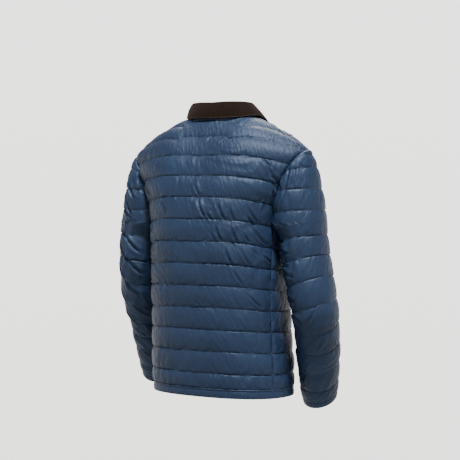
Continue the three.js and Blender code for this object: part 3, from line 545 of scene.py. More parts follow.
def line_puckers(a, share, height, number, seed):
    """Short creases that run out of every row of stitches."""
    total = 0
    for line, near in ((number, share * height), (number + 1, (1 - share) * height)):
        reach = 0.0085 * (1 + 0.55 * noise(a / 0.023, line * 3.1 + 0.5, seed))
        lean = near * 0.55 * noise(a / 0.09, line * 2.3 + 0.5, seed + 1)
        fine = noise((a + lean) / 0.0058, line * 5.7 + 0.5, seed + 2)
        wide = noise((a + lean) / 0.0125, line * 4.1 + 0.5, seed + 3)
        fall = np.exp(-((near / reach) ** 2))
        total = total + fall * (0.00070 * fine + 0.00120 * wide)
    return total


def edge_puckers(edge, s, seed):
    """Short creases that run out of a seam."""
    reach = 0.011 * (1 + 0.5 * noise(s / 0.031, 0.5, seed))
    ripple = 0.0010 * noise(s / 0.0085, 0.5, seed + 1) + 0.0008 * noise(s / 0.019, 0.5, seed + 2)
    return ripple * np.exp(-((edge / reach) ** 2))


def cloth_folds(a, s, seed):
    """Soft, slanting creases inside the channels, in patches."""
    slant = 0.55 * noise(a / 0.16, s / 0.13, seed)
    run = a + slant * s
    patch = smooth(0.5 + 0.9 * noise(a / 0.075, s / 0.055, seed + 1))
    sharp = 1 - 2 * np.abs(noise(run / 0.016, s / 0.050, seed + 2))
    soft = noise(run / 0.030, s / 0.060, seed + 3)
    small = noise(run / 0.0080, s / 0.024, seed + 4)
    fall = a - 0.42 * s + 0.010 * noise(a / 0.06, s / 0.04, seed + 5)
    ridge = 1 - 2 * np.abs(noise(fall / 0.0115, s / 0.045, seed + 6)) ** 0.8
    gust = smooth(0.35 + 1.1 * noise(a / 0.060, s / 0.035, seed + 7))
    slanting = 0.0011 * ridge * gust
    return patch * (0.00105 * sharp + 0.0013 * soft) + 0.00030 * small + slanting


def crease_relief(a, s, creases, locate):
    """Listed creases: a trough with a lifted lip on its upper side."""
    total = np.zeros_like(a)
    for start_place, start_s, end_place, end_s, width, depth, bow in creases:
        start = locate(start_place, start_s)
        end = locate(end_place, end_s)
        run = end - start
        length = math.hypot(*run)
        along = ((a - start[0]) * run[0] + (s - start[1]) * run[1]) / length**2
        off = ((a - start[0]) * run[1] - (s - start[1]) * run[0]) / length
        off = off + bow * 4 * np.clip(along, 0, 1) * (1 - np.clip(along, 0, 1))
        ends = smooth(along / 0.3 + 0.15) * smooth((1 - along) / 0.3 + 0.15)
        trough = -np.exp(-((off / width) ** 2))
        lip = 0.75 * np.exp(-(((np.abs(off) - 2.1 * width) / (1.2 * width)) ** 2))
        total += depth * ends * (trough + 0.9 * lip)
    return total


def locator(place_grid, a, s_grid):
    """Finds where a place and a length fall on a piece, as a and s."""
    def locate(place, s):
        gap = ((place_grid - place) / 60) ** 2 + ((s_grid - s) / 0.2) ** 2
        i = np.unravel_index(np.argmin(gap), gap.shape)
        return np.array([a[i], s])
    return locate


def body_lines():
    lines = [0, HEM_BAND, SECOND_HEM_ROW]
    lines += [FIRST_LINE + i * CHANNEL for i in range(LINE_COUNT + 2)]
    return np.array(lines)


def panel_columns(behind, side):
    """Places across a panel, as shares of the way to its edge, and the top's
    angles. The back runs from -1 to 1, a front from its edge to the middle."""
    if behind:
        half = round(0.225 / COLUMN)
        shares = even_columns(0, 90, half) / 90
        shares = np.unique(np.append(shares, NECK_POINT / 90))
        return np.concatenate([-shares[:0:-1], shares]), None
    count = round(0.255 / COLUMN)
    shares = (even_columns(90, 180, count) - 90) / 90
    corner = 1 - NECK_POINT / 90
    return np.unique(np.append(shares, corner)), side


def panel_grid(behind, side=1):
    """Angles and lengths of a panel's fine net."""
    columns, side_sign = panel_columns(behind, side)
    full = FIRST_LINE + (10 if behind else 9) * CHANNEL
    stops = body_lines()
    low = levels_between(list(stops[stops <= full + 1e-9]))
    high = np.linspace(0, 1, 62 if behind else 76)[1:]
    edge_low = edge_angle(low, behind)
    edge_s = full + (TIP_S - full) * high
    edge_high = armhole_angle(edge_s, behind)
    edge = np.concatenate([edge_low, edge_high])[:, None]
    if behind:
        angle = edge * columns[None]
        top = top_length(90 * columns)
    else:
        angle = edge + (180 - edge) * columns[None]
        top = top_length(90 + 90 * columns)
    low_s = np.repeat(low[:, None], len(columns), 1)
    high_s = full + (top[None] - full) * high[:, None]
    s = np.concatenate([low_s, high_s])
    if not behind:
        angle = angle * side_sign
    return angle, s


def panel_wall(behind, side, creases, seed):
    """Outer and inner nets of the back or of a front."""
    angle, s = panel_grid(behind, side)
    base = body_point(angle, s)
    if not behind:
        base[:, -1, 0] = side * 0.00015
    flip = behind or side > 0
    travel = row_travel(base)
    a = travel - travel[:, -1:] / 2 if behind else travel
    inset = 0 if behind else PLACKET_HALF_WIDTH + 0.0005
    edge = np.minimum(travel, np.maximum(0, travel[:, -1:] - travel - inset))
    edge = np.minimum(edge, row_heights(base[::-1])[::-1])
    base = eased(base, smooth((s - 0.36) / 0.10) * smooth(edge / 0.045), EASING)
    normals = grid_normals(base, flip)
    height = smooth((s - 0.20) / 0.20)
    beside = smooth(1 - edge / 0.13)
    crumple = 0.65 + 0.75 * height * (0.4 + beside)
    if behind:
        crumple = crumple * (1 - 0.75 * smooth((s - YOKE_FROM) / 0.05))
    relief, level = quilt_relief(a, s, body_lines(), edge, seed, SECOND_HEM_ROW, crumple, PUFF)
    relief = relief + crease_relief(a, s, creases, locator(angle, a, s)) * smooth(edge / 0.004)
    outer = base + normals * (LINE_WALL + relief)[..., None]
    inner = base - normals * INNER_WALL
    return made_wall(outer, inner, base, a, s, level, flip)


def made_wall(outer, inner, base, a, s, level, flip, closed=0):
    """A wall's nets, the places on its cloth, and whether its faces turn over."""
    return {
        "outer": outer, "inner": inner, "base": base,
        "a": a, "s": s, "level": level, "flip": flip, "closed": closed,
    }


def ring_turn(middle_x, half_out, half_depth, side, point):
    return math.atan2(point[1] / half_depth, (point[0] * side - middle_x) / half_out)


def armhole_point(side, s, behind):
    """Edge that a sleeve shares with the panels."""
    point = body_point(side * float(armhole_angle(s, behind)), s)
    return point + np.array([side * 0.0003, 0, 0])


def cap_row(side, s, columns):
    """Open row of the sleeve's cap, level with one row of the armhole."""
    x, half_out, half_depth, rise = table_at(CAP_RINGS, s)
    back = armhole_point(side, s, True)
    front = armhole_point(side, s, False)
    height = (back[2] + front[2]) / 2

    def place(turn):
        return np.stack([
            side * (x + half_out * np.cos(turn)),
            half_depth * np.sin(turn),
            height + rise * (1 + np.cos(turn)) / 2,
        ], -1)

    start = ring_turn(x, half_out, half_depth, side, back)
    end = ring_turn(x, half_out, half_depth, side, front)
    if end > 0:
        end -= 2 * math.pi
    turn = start + (end - start) * columns
    points = place(turn)
    from_start = np.degrees(start - turn)
    from_end = np.degrees(turn - end)
    points += smooth(1 - from_start / EDGE_REACH)[:, None] * (back - place(np.array(start)))
    points += smooth(1 - from_end / EDGE_REACH)[:, None] * (front - place(np.array(end)))
    return points, np.degrees(turn)


def arm_ring(side, q):
    arm = LEFT_ARM if side > 0 else RIGHT_ARM
    ring = table_at(arm, q)
    ahead = table_at(arm, q + 0.003)
    before = table_at(arm, q - 0.003)
    seam_z = armhole_point(side, UNDERARM_S, True)[2]
    lower = seam_z - body_point(UNDERARM_ANGLE, UNDERARM_S)[2]
    centre = np.array([side * ring[0], ring[1], ring[2] + lower * (1 - smooth(q / 0.080))])
    down = unit((ahead - before)[:3] * np.array([side, 1, 1]))
    down = unit(down + (np.array([0, 0, -1.0]) - down) * (1 - smooth(q / 0.060)))
    out = np.array([side, 0, 0.0])
    out = unit(out - down * out.dot(down))
    back = np.cross(out, down) * side
    return centre, ring[3], ring[4], down, out, back


def arm_row(side, q, columns):
    """Closed row of the arm at one distance below the underarm."""
    centre, half_out, half_depth, down, out, back = arm_ring(side, q)
    start_point = armhole_point(side, UNDERARM_S, True)
    _, x0, _, _, out0, depth0 = RIGHT_ARM[0]
    start = ring_turn(x0, out0, depth0, side, start_point)
    turn = start - 2 * math.pi * columns

    def place(angle):
        cos = np.cos(angle)[..., None]
        return centre - down * ARM_TILT * cos + out * half_out * cos + back * half_depth * np.sin(angle)[..., None]

    near = np.degrees(np.minimum(start - turn, 2 * math.pi - (start - turn)))
    shift = (start_point - place(np.array(start))) * smooth(1 - q / 0.024)
    points = place(turn) + smooth(1 - near / EDGE_REACH)[:, None] * shift
    return points, np.degrees(turn)


def body_reach(point):
    ring = table_at(BODY_RINGS, np.minimum(point[..., 2], CHEST_Z))
    off = point[..., 1] - ring[..., 3]
    share = np.abs(off / np.where(off > 0, ring[..., 1], ring[..., 2]))
    inside = np.maximum(0, 1 - share**ROUNDNESS)
    return np.where(share < 1, ring[..., 0] * inside ** (1 / ROUNDNESS), 0)


def sleeve_lines():
    """Heights of the quilting lines above the underarm, the cuff's edge first."""
    below = [-SLEEVE_LENGTH, CUFF_HEM - SLEEVE_LENGTH]
    below += [-(SLEEVE_FIRST_LINE + i * SLEEVE_CHANNEL) for i in range(SLEEVE_CHANNELS - 1, -1, -1)]
    first = SLEEVE_LINE_S - UNDERARM_S
    above = [first + i * CHANNEL for i in range(5)]
    return np.array(below + above)


def sleeve_wall(side, creases, seed):
    """Outer and inner nets of a sleeve, from the cuff to the shoulder's tip."""
    columns = np.linspace(0, 1, round(0.350 / 0.0028) + 1)
    lines = sleeve_lines()
    arm_levels = levels_between(list(lines[lines < -0.01]) + [0.0])
    closed = len(arm_levels)
    cap_levels = UNDERARM_S + (TIP_S - 0.0005 - UNDERARM_S) * np.linspace(0, 1, 86)[1:] ** 1.15
    rows = [arm_row(side, -level, columns) for level in arm_levels]
    rows += [cap_row(side, s, columns) for s in cap_levels]
    base = np.array([row[0] for row in rows])
    turn = np.array([row[1] for row in rows])
    levels = np.concatenate([arm_levels, cap_levels - UNDERARM_S])
    s = np.repeat(levels[:, None], len(columns), 1)
    normals = grid_normals(base, side > 0)
    seam = unit(normals[:closed, 0] + normals[:closed, -1])
    normals[:closed, 0] = seam
    normals[:closed, -1] = seam
    travel = row_travel(base)
    whole = travel[:, -1:]
    edge = np.minimum(travel, whole - travel)
    edge = np.where(s < 0, np.maximum(edge, smooth(-s / 0.030) * 0.05), edge)
    a = travel - whole / 2
    inside = smooth((np.cos(np.radians(turn)) * -0.5 + 0.35))
    crumple = 0.9 + 0.8 * inside + (0.5 if side > 0 else 0)
    relief, level = quilt_relief(a, s, lines, edge, seed, CUFF_HEM - SLEEVE_LENGTH, crumple, SLEEVE_PUFF)
    wrap = smooth(np.minimum(travel, whole - travel) / 0.020)
    relief = np.where(s < 0, relief * wrap + relief[:, :1] * (1 - wrap), relief)
    relief = relief + crease_relief(a, s, creases, locator(turn, a, s)) * smooth(edge / 0.004)
    outer = base + normals * (LINE_WALL + relief)[..., None]
    inner = base - normals * INNER_WALL
    clear = ARM_GAP + (ARM_CLEARANCE - ARM_GAP) * smooth(-s / CLEAR_FROM)
    short = np.maximum(0, body_reach(outer) + clear - outer[..., 0] * side)
    short[closed:] = 0
    outer[..., 0] += side * short
    inner[..., 0] += side * short
    for net in (outer, inner, base):
        net[:closed, -1] = net[:closed, 0]
    return made_wall(outer, inner, base, a, s, level, side > 0, closed)


def neck_point(turn):
    """The neckline seam at turns from the centre back, in degrees."""
    sin = sin_of(turn)
    cos = cos_of(turn)
    y = np.where(cos > 0, NECK_BACK * cos, NECK_FRONT * cos)
    z = np.where(cos > 0, NECK_RISE * cos, -NECK_DROP * cos**2)
    return np.stack([NECK_HALF_WIDTH * sin, y, z], -1)


def neck_out(point):
    mean = (NECK_BACK + NECK_FRONT) / 2
    out = np.stack([
        point[..., 0] / NECK_HALF_WIDTH**2,
        (point[..., 1] - NECK_CENTRE_Y) / mean**2,
        np.zeros_like(point[..., 0]),
    ], -1)
    return unit(out)


def neck_share(point):
    return np.abs(np.arctan2(point[..., 0], point[..., 1] - NECK_CENTRE_Y)) / np.pi


def even_neckline(step, end_share):
    """Neckline points a step apart, from the right front to the left one."""
    fine = neck_point(np.linspace(-180, 180, 4000))
    fine = fine[neck_share(fine) <= end_share]
    travel = np.concatenate([[0], np.cumsum(norm(np.diff(fine, axis=0)))])
    places = np.linspace(0, travel[-1], round(travel[-1] / step) + 1)
    points = np.stack([np.interp(places, travel, fine[:, k]) for k in range(3)], -1)
    return points, places


UP = np.array([0, 0, 1.0])


def stand_top(point):
    reach = table_at(STAND_TOPS, neck_share(point))
    return point + UP * reach[..., :1] + neck_out(point) * reach[..., 1:]


def wales(places, seed):
    """Ribs of the cord, across the given distances."""
    drift = 0.0003 * noise(places / 0.03, 0.5, seed)
    return WALE_HEIGHT * (np.abs(np.cos(np.pi * (places + drift) / WALE)) ** 0.8)


def stand_wall():
    points, places = even_neckline(0.0009, 1)
    shares = np.linspace(0, 1, 12)
    top = stand_top(points)
    base = np.array([points + (top - points) * share for share in shares])
    base[0] += UP * 0.0006
    out = neck_out(points)[None]
    ribs = wales(places, 71)[None, :, None]
    outer = base + out * (LINE_WALL + ribs * 0.6)
    inner = base - out * (INNER_WALL - 0.0004 + ribs * 0.6)
    a = np.repeat(places[None], len(shares), 0)
    s = row_heights(base)
    return made_wall(outer, inner, base, a, s, s, True)


def row_heights(base):
    """Distance up each column of a grid from its first point."""
    steps = norm(np.diff(base, axis=0))
    return np.concatenate([np.zeros((1, base.shape[1])), np.cumsum(steps, axis=0)])


def leaf_wall():
    """The leaf of the collar, over its fold and down to the edge."""
    points, places = even_neckline(0.0008, LEAF_END)
    out = neck_out(points)
    top = stand_top(points)
    share = neck_share(points)
    edge = table_at(LEAF_EDGES, share)
    fold = [(0, *FOLD_PATH[0])] + [(i, *step) for i, step in enumerate(FOLD_PATH) if i]
    path = table_at(fold, np.linspace(0, len(FOLD_PATH) - 1, 13))
    bend = [top + out * step[0] + UP * step[1] for step in path]
    last = bend[-1]
    foot = points + out * edge[:, :1] + UP * edge[:, 1:]
    ripple = 0.0012 * noise(places / 0.045, 0.5, 81) * smooth((LEAF_END - share) / 0.05)
    foot = foot + out * ripple[:, None]
    crown = 0.0022
    drop = []
    for t in np.linspace(0, 1, 20)[1:]:
        bulge = crown * math.sin(math.pi * t) * (out * 0.8 + UP * 0.6)
        drop.append(last + (foot - last) * t + bulge)
    base = np.array(bend + drop)
    normals = grid_normals(base, False)
    a = np.repeat(places[None], len(base), 0)
    s = row_heights(base)
    to_edge = s[-1:] - s
    ribs = wales(places, 72)[None]
    press = 0.0006 * smooth((0.0048 - to_edge) / 0.0012) - 0.0004 * np.exp(-(((to_edge - 0.005) / 0.0011) ** 2))
    round_off = np.sqrt(np.clip(to_edge / 0.0016, 0.05, 1))
    outer = base + normals * (LEAF_WALL * round_off + ribs + press)[..., None]
    inner = base - normals * (LEAF_WALL * round_off + ribs * 0.5)[..., None]
    return made_wall(outer, inner, base, a, s, to_edge, False)


def placket_wall():
    """The strip over the closed centre front."""
    shares = np.sin(np.linspace(-math.pi / 2, math.pi / 2, 27))
    s = np.append(np.arange(0, FRONT_TOP_S - 0.004, 0.0025), FRONT_TOP_S - 0.004)
    grid_s = np.repeat(s[:, None], len(shares), 1)
    widening = body_point(PLACKET_TRIAL, s)[:, :1] / rounded(sin_of(PLACKET_TRIAL))
    reach = PLACKET_HALF_WIDTH * np.abs(shares)[None] / widening
    turn = np.degrees(np.arcsin(reach ** (ROUNDNESS / 2)))
    angle = np.where(turn < 1e-6, 180, np.sign(shares)[None] * (180 - turn))
    base = body_point(angle, grid_s)
    base = base[:, ::-1]
    normals = grid_normals(base, True)
    travel = row_travel(base)
    a = travel - travel[:, -1:] / 2
    edge = np.minimum(travel, travel[:, -1:] - travel)
    lift = LINE_WALL + PLACKET_CLEAR
    rim = np.sqrt(np.clip(edge / 0.0018, 0.04, 1))
    stitch = -0.0004 * np.exp(-(((edge - 0.0045) / 0.0010) ** 2))
    wave = 0.0005 * noise(a / 0.030, grid_s / 0.030, 91) + 0.0003 * noise(a / 0.012, grid_s / 0.010, 92)
    relief = PLACKET_THICKNESS * rim + stitch + wave * smooth(edge / 0.006)
    outer = base + normals * (lift + relief)[..., None]
    inner = base + normals * lift
    return made_wall(outer, inner, base, a, grid_s, edge, True)


def quads(rows, columns, start, flip):
    """Faces of a grid whose points are numbered along its rows."""
    r, c = np.meshgrid(np.arange(rows - 1), np.arange(columns - 1), indexing="ij")
    low = (start + r * columns + c).ravel()
    corners = [low, low + 1, low + columns + 1, low + columns]
    if flip:
        corners.reverse()
    return np.stack(corners, -1)


def strip(first, first_places, second, second_places, flip):
    """Triangles between two lines of points."""
    faces = []
    i = j = 0
    while i < len(first) - 1 or j < len(second) - 1:
        next_i = first_places[i + 1] if i < len(first) - 1 else math.inf
        next_j = second_places[j + 1] if j < len(second) - 1 else math.inf
        if next_i <= next_j:
            face = (first[i], first[i + 1], second[j])
            i += 1
        else:
            face = (first[i], second[j + 1], second[j])
            j += 1
        faces.append(face[::-1] if flip else face)
    return faces


def thinned(count, step):
    """Every so many of a count of places, with the last."""
    return np.unique(np.append(np.arange(0, count, step), count - 1))


def wall_object(name, wall, material):
    """A closed wall from a fine outside and a plainer inside."""
    outer, inner, flip = wall["outer"], wall["inner"], wall["flip"]
    rows, columns = outer.shape[:2]
    keep_r = thinned(rows, INNER_STEP)
    closed = wall["closed"]
    if closed:
        keep_r = np.unique(np.append(keep_r, closed - 1))
    keep_c = thinned(columns, INNER_STEP)
    coarse = inner[np.ix_(keep_r, keep_c)]
    start = rows * columns
    points = np.concatenate([outer.reshape(-1, 3), coarse.reshape(-1, 3)])
    faces = quads(rows, columns, 0, flip).tolist()
    faces += quads(len(keep_r), len(keep_c), start, not flip).tolist()
    outer_id = np.arange(start).reshape(rows, columns)
    inner_id = start + np.arange(coarse.shape[0] * coarse.shape[1]).reshape(coarse.shape[:2])
    for row in (0, -1):
        faces += strip(inner_id[row], keep_c, outer_id[row], np.arange(columns), (row == 0) == flip)
    from_row = max(0, closed - 1)
    open_r = keep_r >= from_row
    for column in (0, -1):
        faces += strip(
            outer_id[from_row:, column], np.arange(from_row, rows),
            inner_id[open_r, column], keep_r[open_r], (column == 0) == flip,
        )
    mesh = bpy.data.meshes.new(name)
    mesh.from_pydata(points.tolist(), [], faces)
    place_map(mesh, wall, keep_r, keep_c)
    if closed:
        weld(mesh)
    finish_mesh(mesh, material)
    piece = bpy.data.objects.new(name, mesh)
    bpy.context.scene.collection.objects.link(piece)
    return piece


def place_map(mesh, wall, keep_r, keep_c):
    """Lays the piece's own distances across and up, in metres, as its UV map."""
    flat = np.stack([wall["a"], wall["s"]], -1)
    both = np.concatenate([flat.reshape(-1, 2), flat[np.ix_(keep_r, keep_c)].reshape(-1, 2)])
    corners = np.empty(len(mesh.loops), dtype=np.int64)
    mesh.loops.foreach_get("vertex_index", corners)
    layer = mesh.uv_layers.new(name="cloth")
    layer.data.foreach_set("uv", both[corners].astype(np.float32).ravel())


def weld(mesh):
    """Joins the points that meet where a sleeve closes."""
    work = bmesh.new()
    work.from_mesh(mesh)
    bmesh.ops.remove_doubles(work, verts=work.verts, dist=1e-6)
    work.to_mesh(mesh)
    work.free()


def finish_mesh(mesh, material):
    mesh.polygons.foreach_set("use_smooth", np.ones(len(mesh.polygons), dtype=bool))
    mesh.materials.append(material)
    mesh.validate()
    mesh.update()
    mesh.set_sharp_from_angle(angle=math.radians(65))


def level_line(wall, level):
    """Outer points and directions along one level, as unbroken lines."""
    outer, levels = wall["outer"], wall["level"]
    found = []
    for c in range(outer.shape[1]):
        column = levels[:, c]
        if not column[0] <= level <= column[-1]:
            found.append(None)
            continue
        i = np.interp(level, column, np.arange(len(column)))
        low = min(int(i), len(column) - 2)
        t = i - low
        found.append(outer[low, c] * (1 - t) + outer[low + 1, c] * t)
    lines = [[]]
    for point in found:
        if point is None:
            lines.append([])
        else:
            lines[-1].append(point)
    return [np.array(line) for line in lines if len(line) > 4]


def stitches_on(line, lift):
    """Middles and directions of the stitches along a line of points."""
    travel = np.concatenate([[0], np.cumsum(norm(np.diff(line, axis=0)))])
    middles = np.arange(STITCH_PITCH, travel[-1] - STITCH_PITCH / 2, STITCH_PITCH)
    at = lambda d: np.stack([np.interp(d, travel, line[:, k]) for k in range(3)], -1)
    return at(middles) + lift, unit(at(middles + STITCH_LENGTH / 2) - at(middles - STITCH_LENGTH / 2))


def stitch_object(name, lines, material):
    """Rows of short raised stitches as one mesh, each a six-pointed bead."""
    middles = []
    runs = []
    for line in lines:
        middle, run = stitches_on(line, 0)
        middles.append(middle)
        runs.append(run)
    middles = np.concatenate(middles)
    runs = np.concatenate(runs)
    side = unit(np.cross(runs, np.array([0.13, 0.31, 0.94])))
    high = np.cross(runs, side)
    ends = runs * STITCH_LENGTH / 2
    corners = np.stack([
        middles - ends, middles + ends,
        middles + side * STITCH_RADIUS * 1.3, middles - side * STITCH_RADIUS * 1.3,
        middles + high * STITCH_RADIUS, middles - high * STITCH_RADIUS,
    ], 1)
    pattern = np.array([
        (0, 2, 4), (0, 4, 3), (0, 3, 5), (0, 5, 2),
        (1, 4, 2), (1, 3, 4), (1, 5, 3), (1, 2, 5),
    ])
    faces = (pattern[None] + 6 * np.arange(len(middles))[:, None, None]).reshape(-1, 3)
    mesh = bpy.data.meshes.new(name)
    mesh.from_pydata(corners.reshape(-1, 3).tolist(), [], faces.tolist())
    finish_mesh(mesh, material)
    piece = bpy.data.objects.new(name, mesh)
    bpy.context.scene.collection.objects.link(piece)
    return piece


def node_tree(name):
    material = bpy.data.materials.new(name)
    material.use_nodes = True
    tree = material.node_tree
    shader = next(node for node in tree.nodes if node.type == "BSDF_PRINCIPLED")
    return material, tree, shader


def add_node(tree, kind, **values):
    node = tree.nodes.new(kind)
    for key, value in values.items():
        if key in node.inputs:
            node.inputs[key].default_value = value
        else:
            setattr(node, key, value)
    return node


def colour_ramp(tree, factor, low, high, low_at=0.3, high_at=0.7):
    ramp = add_node(tree, "ShaderNodeValToRGB")
    ramp.color_ramp.elements[0].position = low_at
    ramp.color_ramp.elements[0].color = (*low, 1)
    ramp.color_ramp.elements[1].position = high_at
    ramp.color_ramp.elements[1].color = (*high, 1)
    tree.links.new(factor, ramp.inputs[0])
    return ramp.outputs[0]


def scaled_coordinates(tree, source, scale):
    """The piece's own distances, stretched along its cloth."""
    coordinates = add_node(tree, "ShaderNodeTexCoord")
    mapping = add_node(tree, "ShaderNodeMapping")
    mapping.inputs["Scale"].default_value = scale
    tree.links.new(coordinates.outputs[source], mapping.inputs["Vector"])
    return mapping.outputs[0]


def add_bump(tree, height, distance, strength, after=None):
    bump = add_node(tree, "ShaderNodeBump", Distance=distance, Strength=strength)
    tree.links.new(height, bump.inputs["Height"])
    if after:
        tree.links.new(after, bump.inputs["Normal"])
    return bump.outputs[0]


def nylon_material(name, dark, light):
    """Fine, downproof nylon: a tight plain weave with a soft, silky gloss."""
    material, tree, shader = node_tree(name)
    wide = add_node(tree, "ShaderNodeTexNoise", Scale=9.0, Detail=3.0)
    tree.links.new(scaled_coordinates(tree, "Object", (1, 1, 1)), wide.inputs["Vector"])
    colour = colour_ramp(tree, wide.outputs[0], dark, light)
    tree.links.new(colour, shader.inputs["Base Color"])
    crinkle = add_node(tree, "ShaderNodeTexNoise", Scale=1.0, Detail=4.0, Roughness=0.6)
    tree.links.new(scaled_coordinates(tree, "UV", (170, 70, 1)), crinkle.inputs["Vector"])
    slanted = add_node(tree, "ShaderNodeTexNoise", Scale=1.0, Detail=3.0)
    turned = add_node(tree, "ShaderNodeMapping")
    turned.inputs["Rotation"].default_value = (0, 0, math.radians(24))
    stretched = add_node(tree, "ShaderNodeMapping")
    stretched.inputs["Scale"].default_value = (125, 30, 1)
    coordinates = add_node(tree, "ShaderNodeTexCoord")
    tree.links.new(coordinates.outputs["UV"], turned.inputs["Vector"])
    tree.links.new(turned.outputs[0], stretched.inputs["Vector"])
    tree.links.new(stretched.outputs[0], slanted.inputs["Vector"])
    weave = add_node(tree, "ShaderNodeTexChecker", Scale=1.0)
    tree.links.new(scaled_coordinates(tree, "UV", (2600, 2600, 1)), weave.inputs["Vector"])
    normal = add_bump(tree, crinkle.outputs[0], 0.0022, 0.35)
    normal = add_bump(tree, slanted.outputs[0], 0.0042, 0.50, normal)
    normal = add_bump(tree, weave.outputs["Fac"], 0.00006, 0.25, normal)
    tree.links.new(normal, shader.inputs["Normal"])
    rough = add_node(tree, "ShaderNodeMapRange")
    rough.inputs["To Min"].default_value = 0.46
    rough.inputs["To Max"].default_value = 0.60
    tree.links.new(crinkle.outputs[0], rough.inputs["Value"])
    tree.links.new(rough.outputs[0], shader.inputs["Roughness"])
    shader.inputs["Specular IOR Level"].default_value = 0.19
    shader.inputs["Specular Tint"].default_value = (0.62, 0.78, 1.0, 1)
    return material


def cord_material():
    """Brown needlecord: napped ribs whose colour is painted lighter on their crowns and darker between them
    (painted highlight and painted shade), mixed with patches of wear.
    """
    material, tree, shader = node_tree("cord")
    # Colour stripes one wale apart, lightest on the rib crowns: painted highlight on the crowns and painted shade
    # in the grooves between them.
    ribs = add_node(tree, "ShaderNodeTexWave", Scale=1.0)
    ribs.inputs["Phase Offset"].default_value = math.pi
    tree.links.new(scaled_coordinates(tree, "UV", (math.pi / 10 / WALE, 1, 1)), ribs.inputs["Vector"])
    nap = add_node(tree, "ShaderNodeTexNoise", Scale=900.0, Detail=3.0)
    tree.links.new(scaled_coordinates(tree, "Object", (1, 1, 1)), nap.inputs["Vector"])
    worn = add_node(tree, "ShaderNodeTexNoise", Scale=22.0, Detail=3.0)
    tree.links.new(scaled_coordinates(tree, "Object", (1, 1, 1)), worn.inputs["Vector"])
    # The painted rib highlight and shade, times the worn patches, sets the colour.
    shade = add_node(tree, "ShaderNodeMath", operation="MULTIPLY")
    tree.links.new(ribs.outputs["Fac"], shade.inputs[0])
    tree.links.new(worn.outputs[0], shade.inputs[1])
    colour = colour_ramp(tree, shade.outputs[0], (0.0022, 0.0012, 0.0008), (0.0100, 0.0050, 0.0032), 0.05, 0.6)
    tree.links.new(colour, shader.inputs["Base Color"])
    normal = add_bump(tree, nap.outputs[0], 0.0006, 0.6)
    tree.links.new(normal, shader.inputs["Normal"])
    shader.inputs["Roughness"].default_value = 0.95
    shader.inputs["Specular IOR Level"].default_value = 0.06
    shader.inputs["Sheen Weight"].default_value = 0.05
    shader.inputs["Sheen Roughness"].default_value = 0.4
    shader.inputs["Sheen Tint"].default_value = (0.75, 0.52, 0.40, 1)
    return material


def thread_material(name, colour):
    material, tree, shader = node_tree(name)
    twist = add_node(tree, "ShaderNodeTexNoise", Scale=1500.0, Detail=2.0)
    tree.links.new(scaled_coordinates(tree, "Object", (1, 1, 1)), twist.inputs["Vector"])
    dark = tuple(0.7 * value for value in colour)
    tree.links.new(colour_ramp(tree, twist.outputs[0], dark, colour), shader.inputs["Base Color"])
    tree.links.new(add_bump(tree, twist.outputs[0], 0.0002, 0.5), shader.inputs["Normal"])
    shader.inputs["Roughness"].default_value = 0.6
    return material


def stud_material():
    """Dark, satin enamel with fine wear."""
    material, tree, shader = node_tree("stud_enamel")
    wear = add_node(tree, "ShaderNodeTexNoise", Scale=420.0, Detail=5.0)
    tree.links.new(scaled_coordinates(tree, "Object", (1, 1, 1)), wear.inputs["Vector"])
    colour = colour_ramp(tree, wear.outputs[0], (0.010, 0.013, 0.020), (0.028, 0.034, 0.046))
    tree.links.new(colour, shader.inputs["Base Color"])
    rough = add_node(tree, "ShaderNodeMapRange")
    rough.inputs["To Min"].default_value = 0.22
    rough.inputs["To Max"].default_value = 0.42
    tree.links.new(wear.outputs[0], rough.inputs["Value"])
    tree.links.new(rough.outputs[0], shader.inputs["Roughness"])
    tree.links.new(add_bump(tree, wear.outputs[0], 0.0001, 0.3), shader.inputs["Normal"])
    shader.inputs["Metallic"].default_value = 0.75
    return material


def stage_material():
    material, tree, shader = node_tree("studio")
    shade = add_node(tree, "ShaderNodeTexNoise", Scale=0.7)
    tree.links.new(scaled_coordinates(tree, "Object", (1, 1, 1)), shade.inputs["Vector"])
    colour = colour_ramp(tree, shade.outputs[0], (0.25, 0.248, 0.243), (0.26, 0.258, 0.253))
    tree.links.new(colour, shader.inputs["Base Color"])
    shader.inputs["Roughness"].default_value = 0.9
    shader.inputs["Specular IOR Level"].default_value = 0.1
    return material


def dress(piece, slot, *nodes):
    """Puts a piece in the place of its solid."""
    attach(piece, "root")
    if nodes:
        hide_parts(*nodes)


def cloth_piece(name, wall, material, slot, held, *nodes):
    piece = wall_object(name, wall, material)
    dress(piece, slot, *nodes)
    return piece


def sewn_lines(wall, levels):
    lines = []
    for level in levels:
        lines += level_line(wall, level)
    return lines


def mirrored_front(creases, side):
    if side > 0:
        return creases
    return [(-a, s - 0.012, -b, t - 0.012, *rest) for a, s, b, t, *rest in creases]


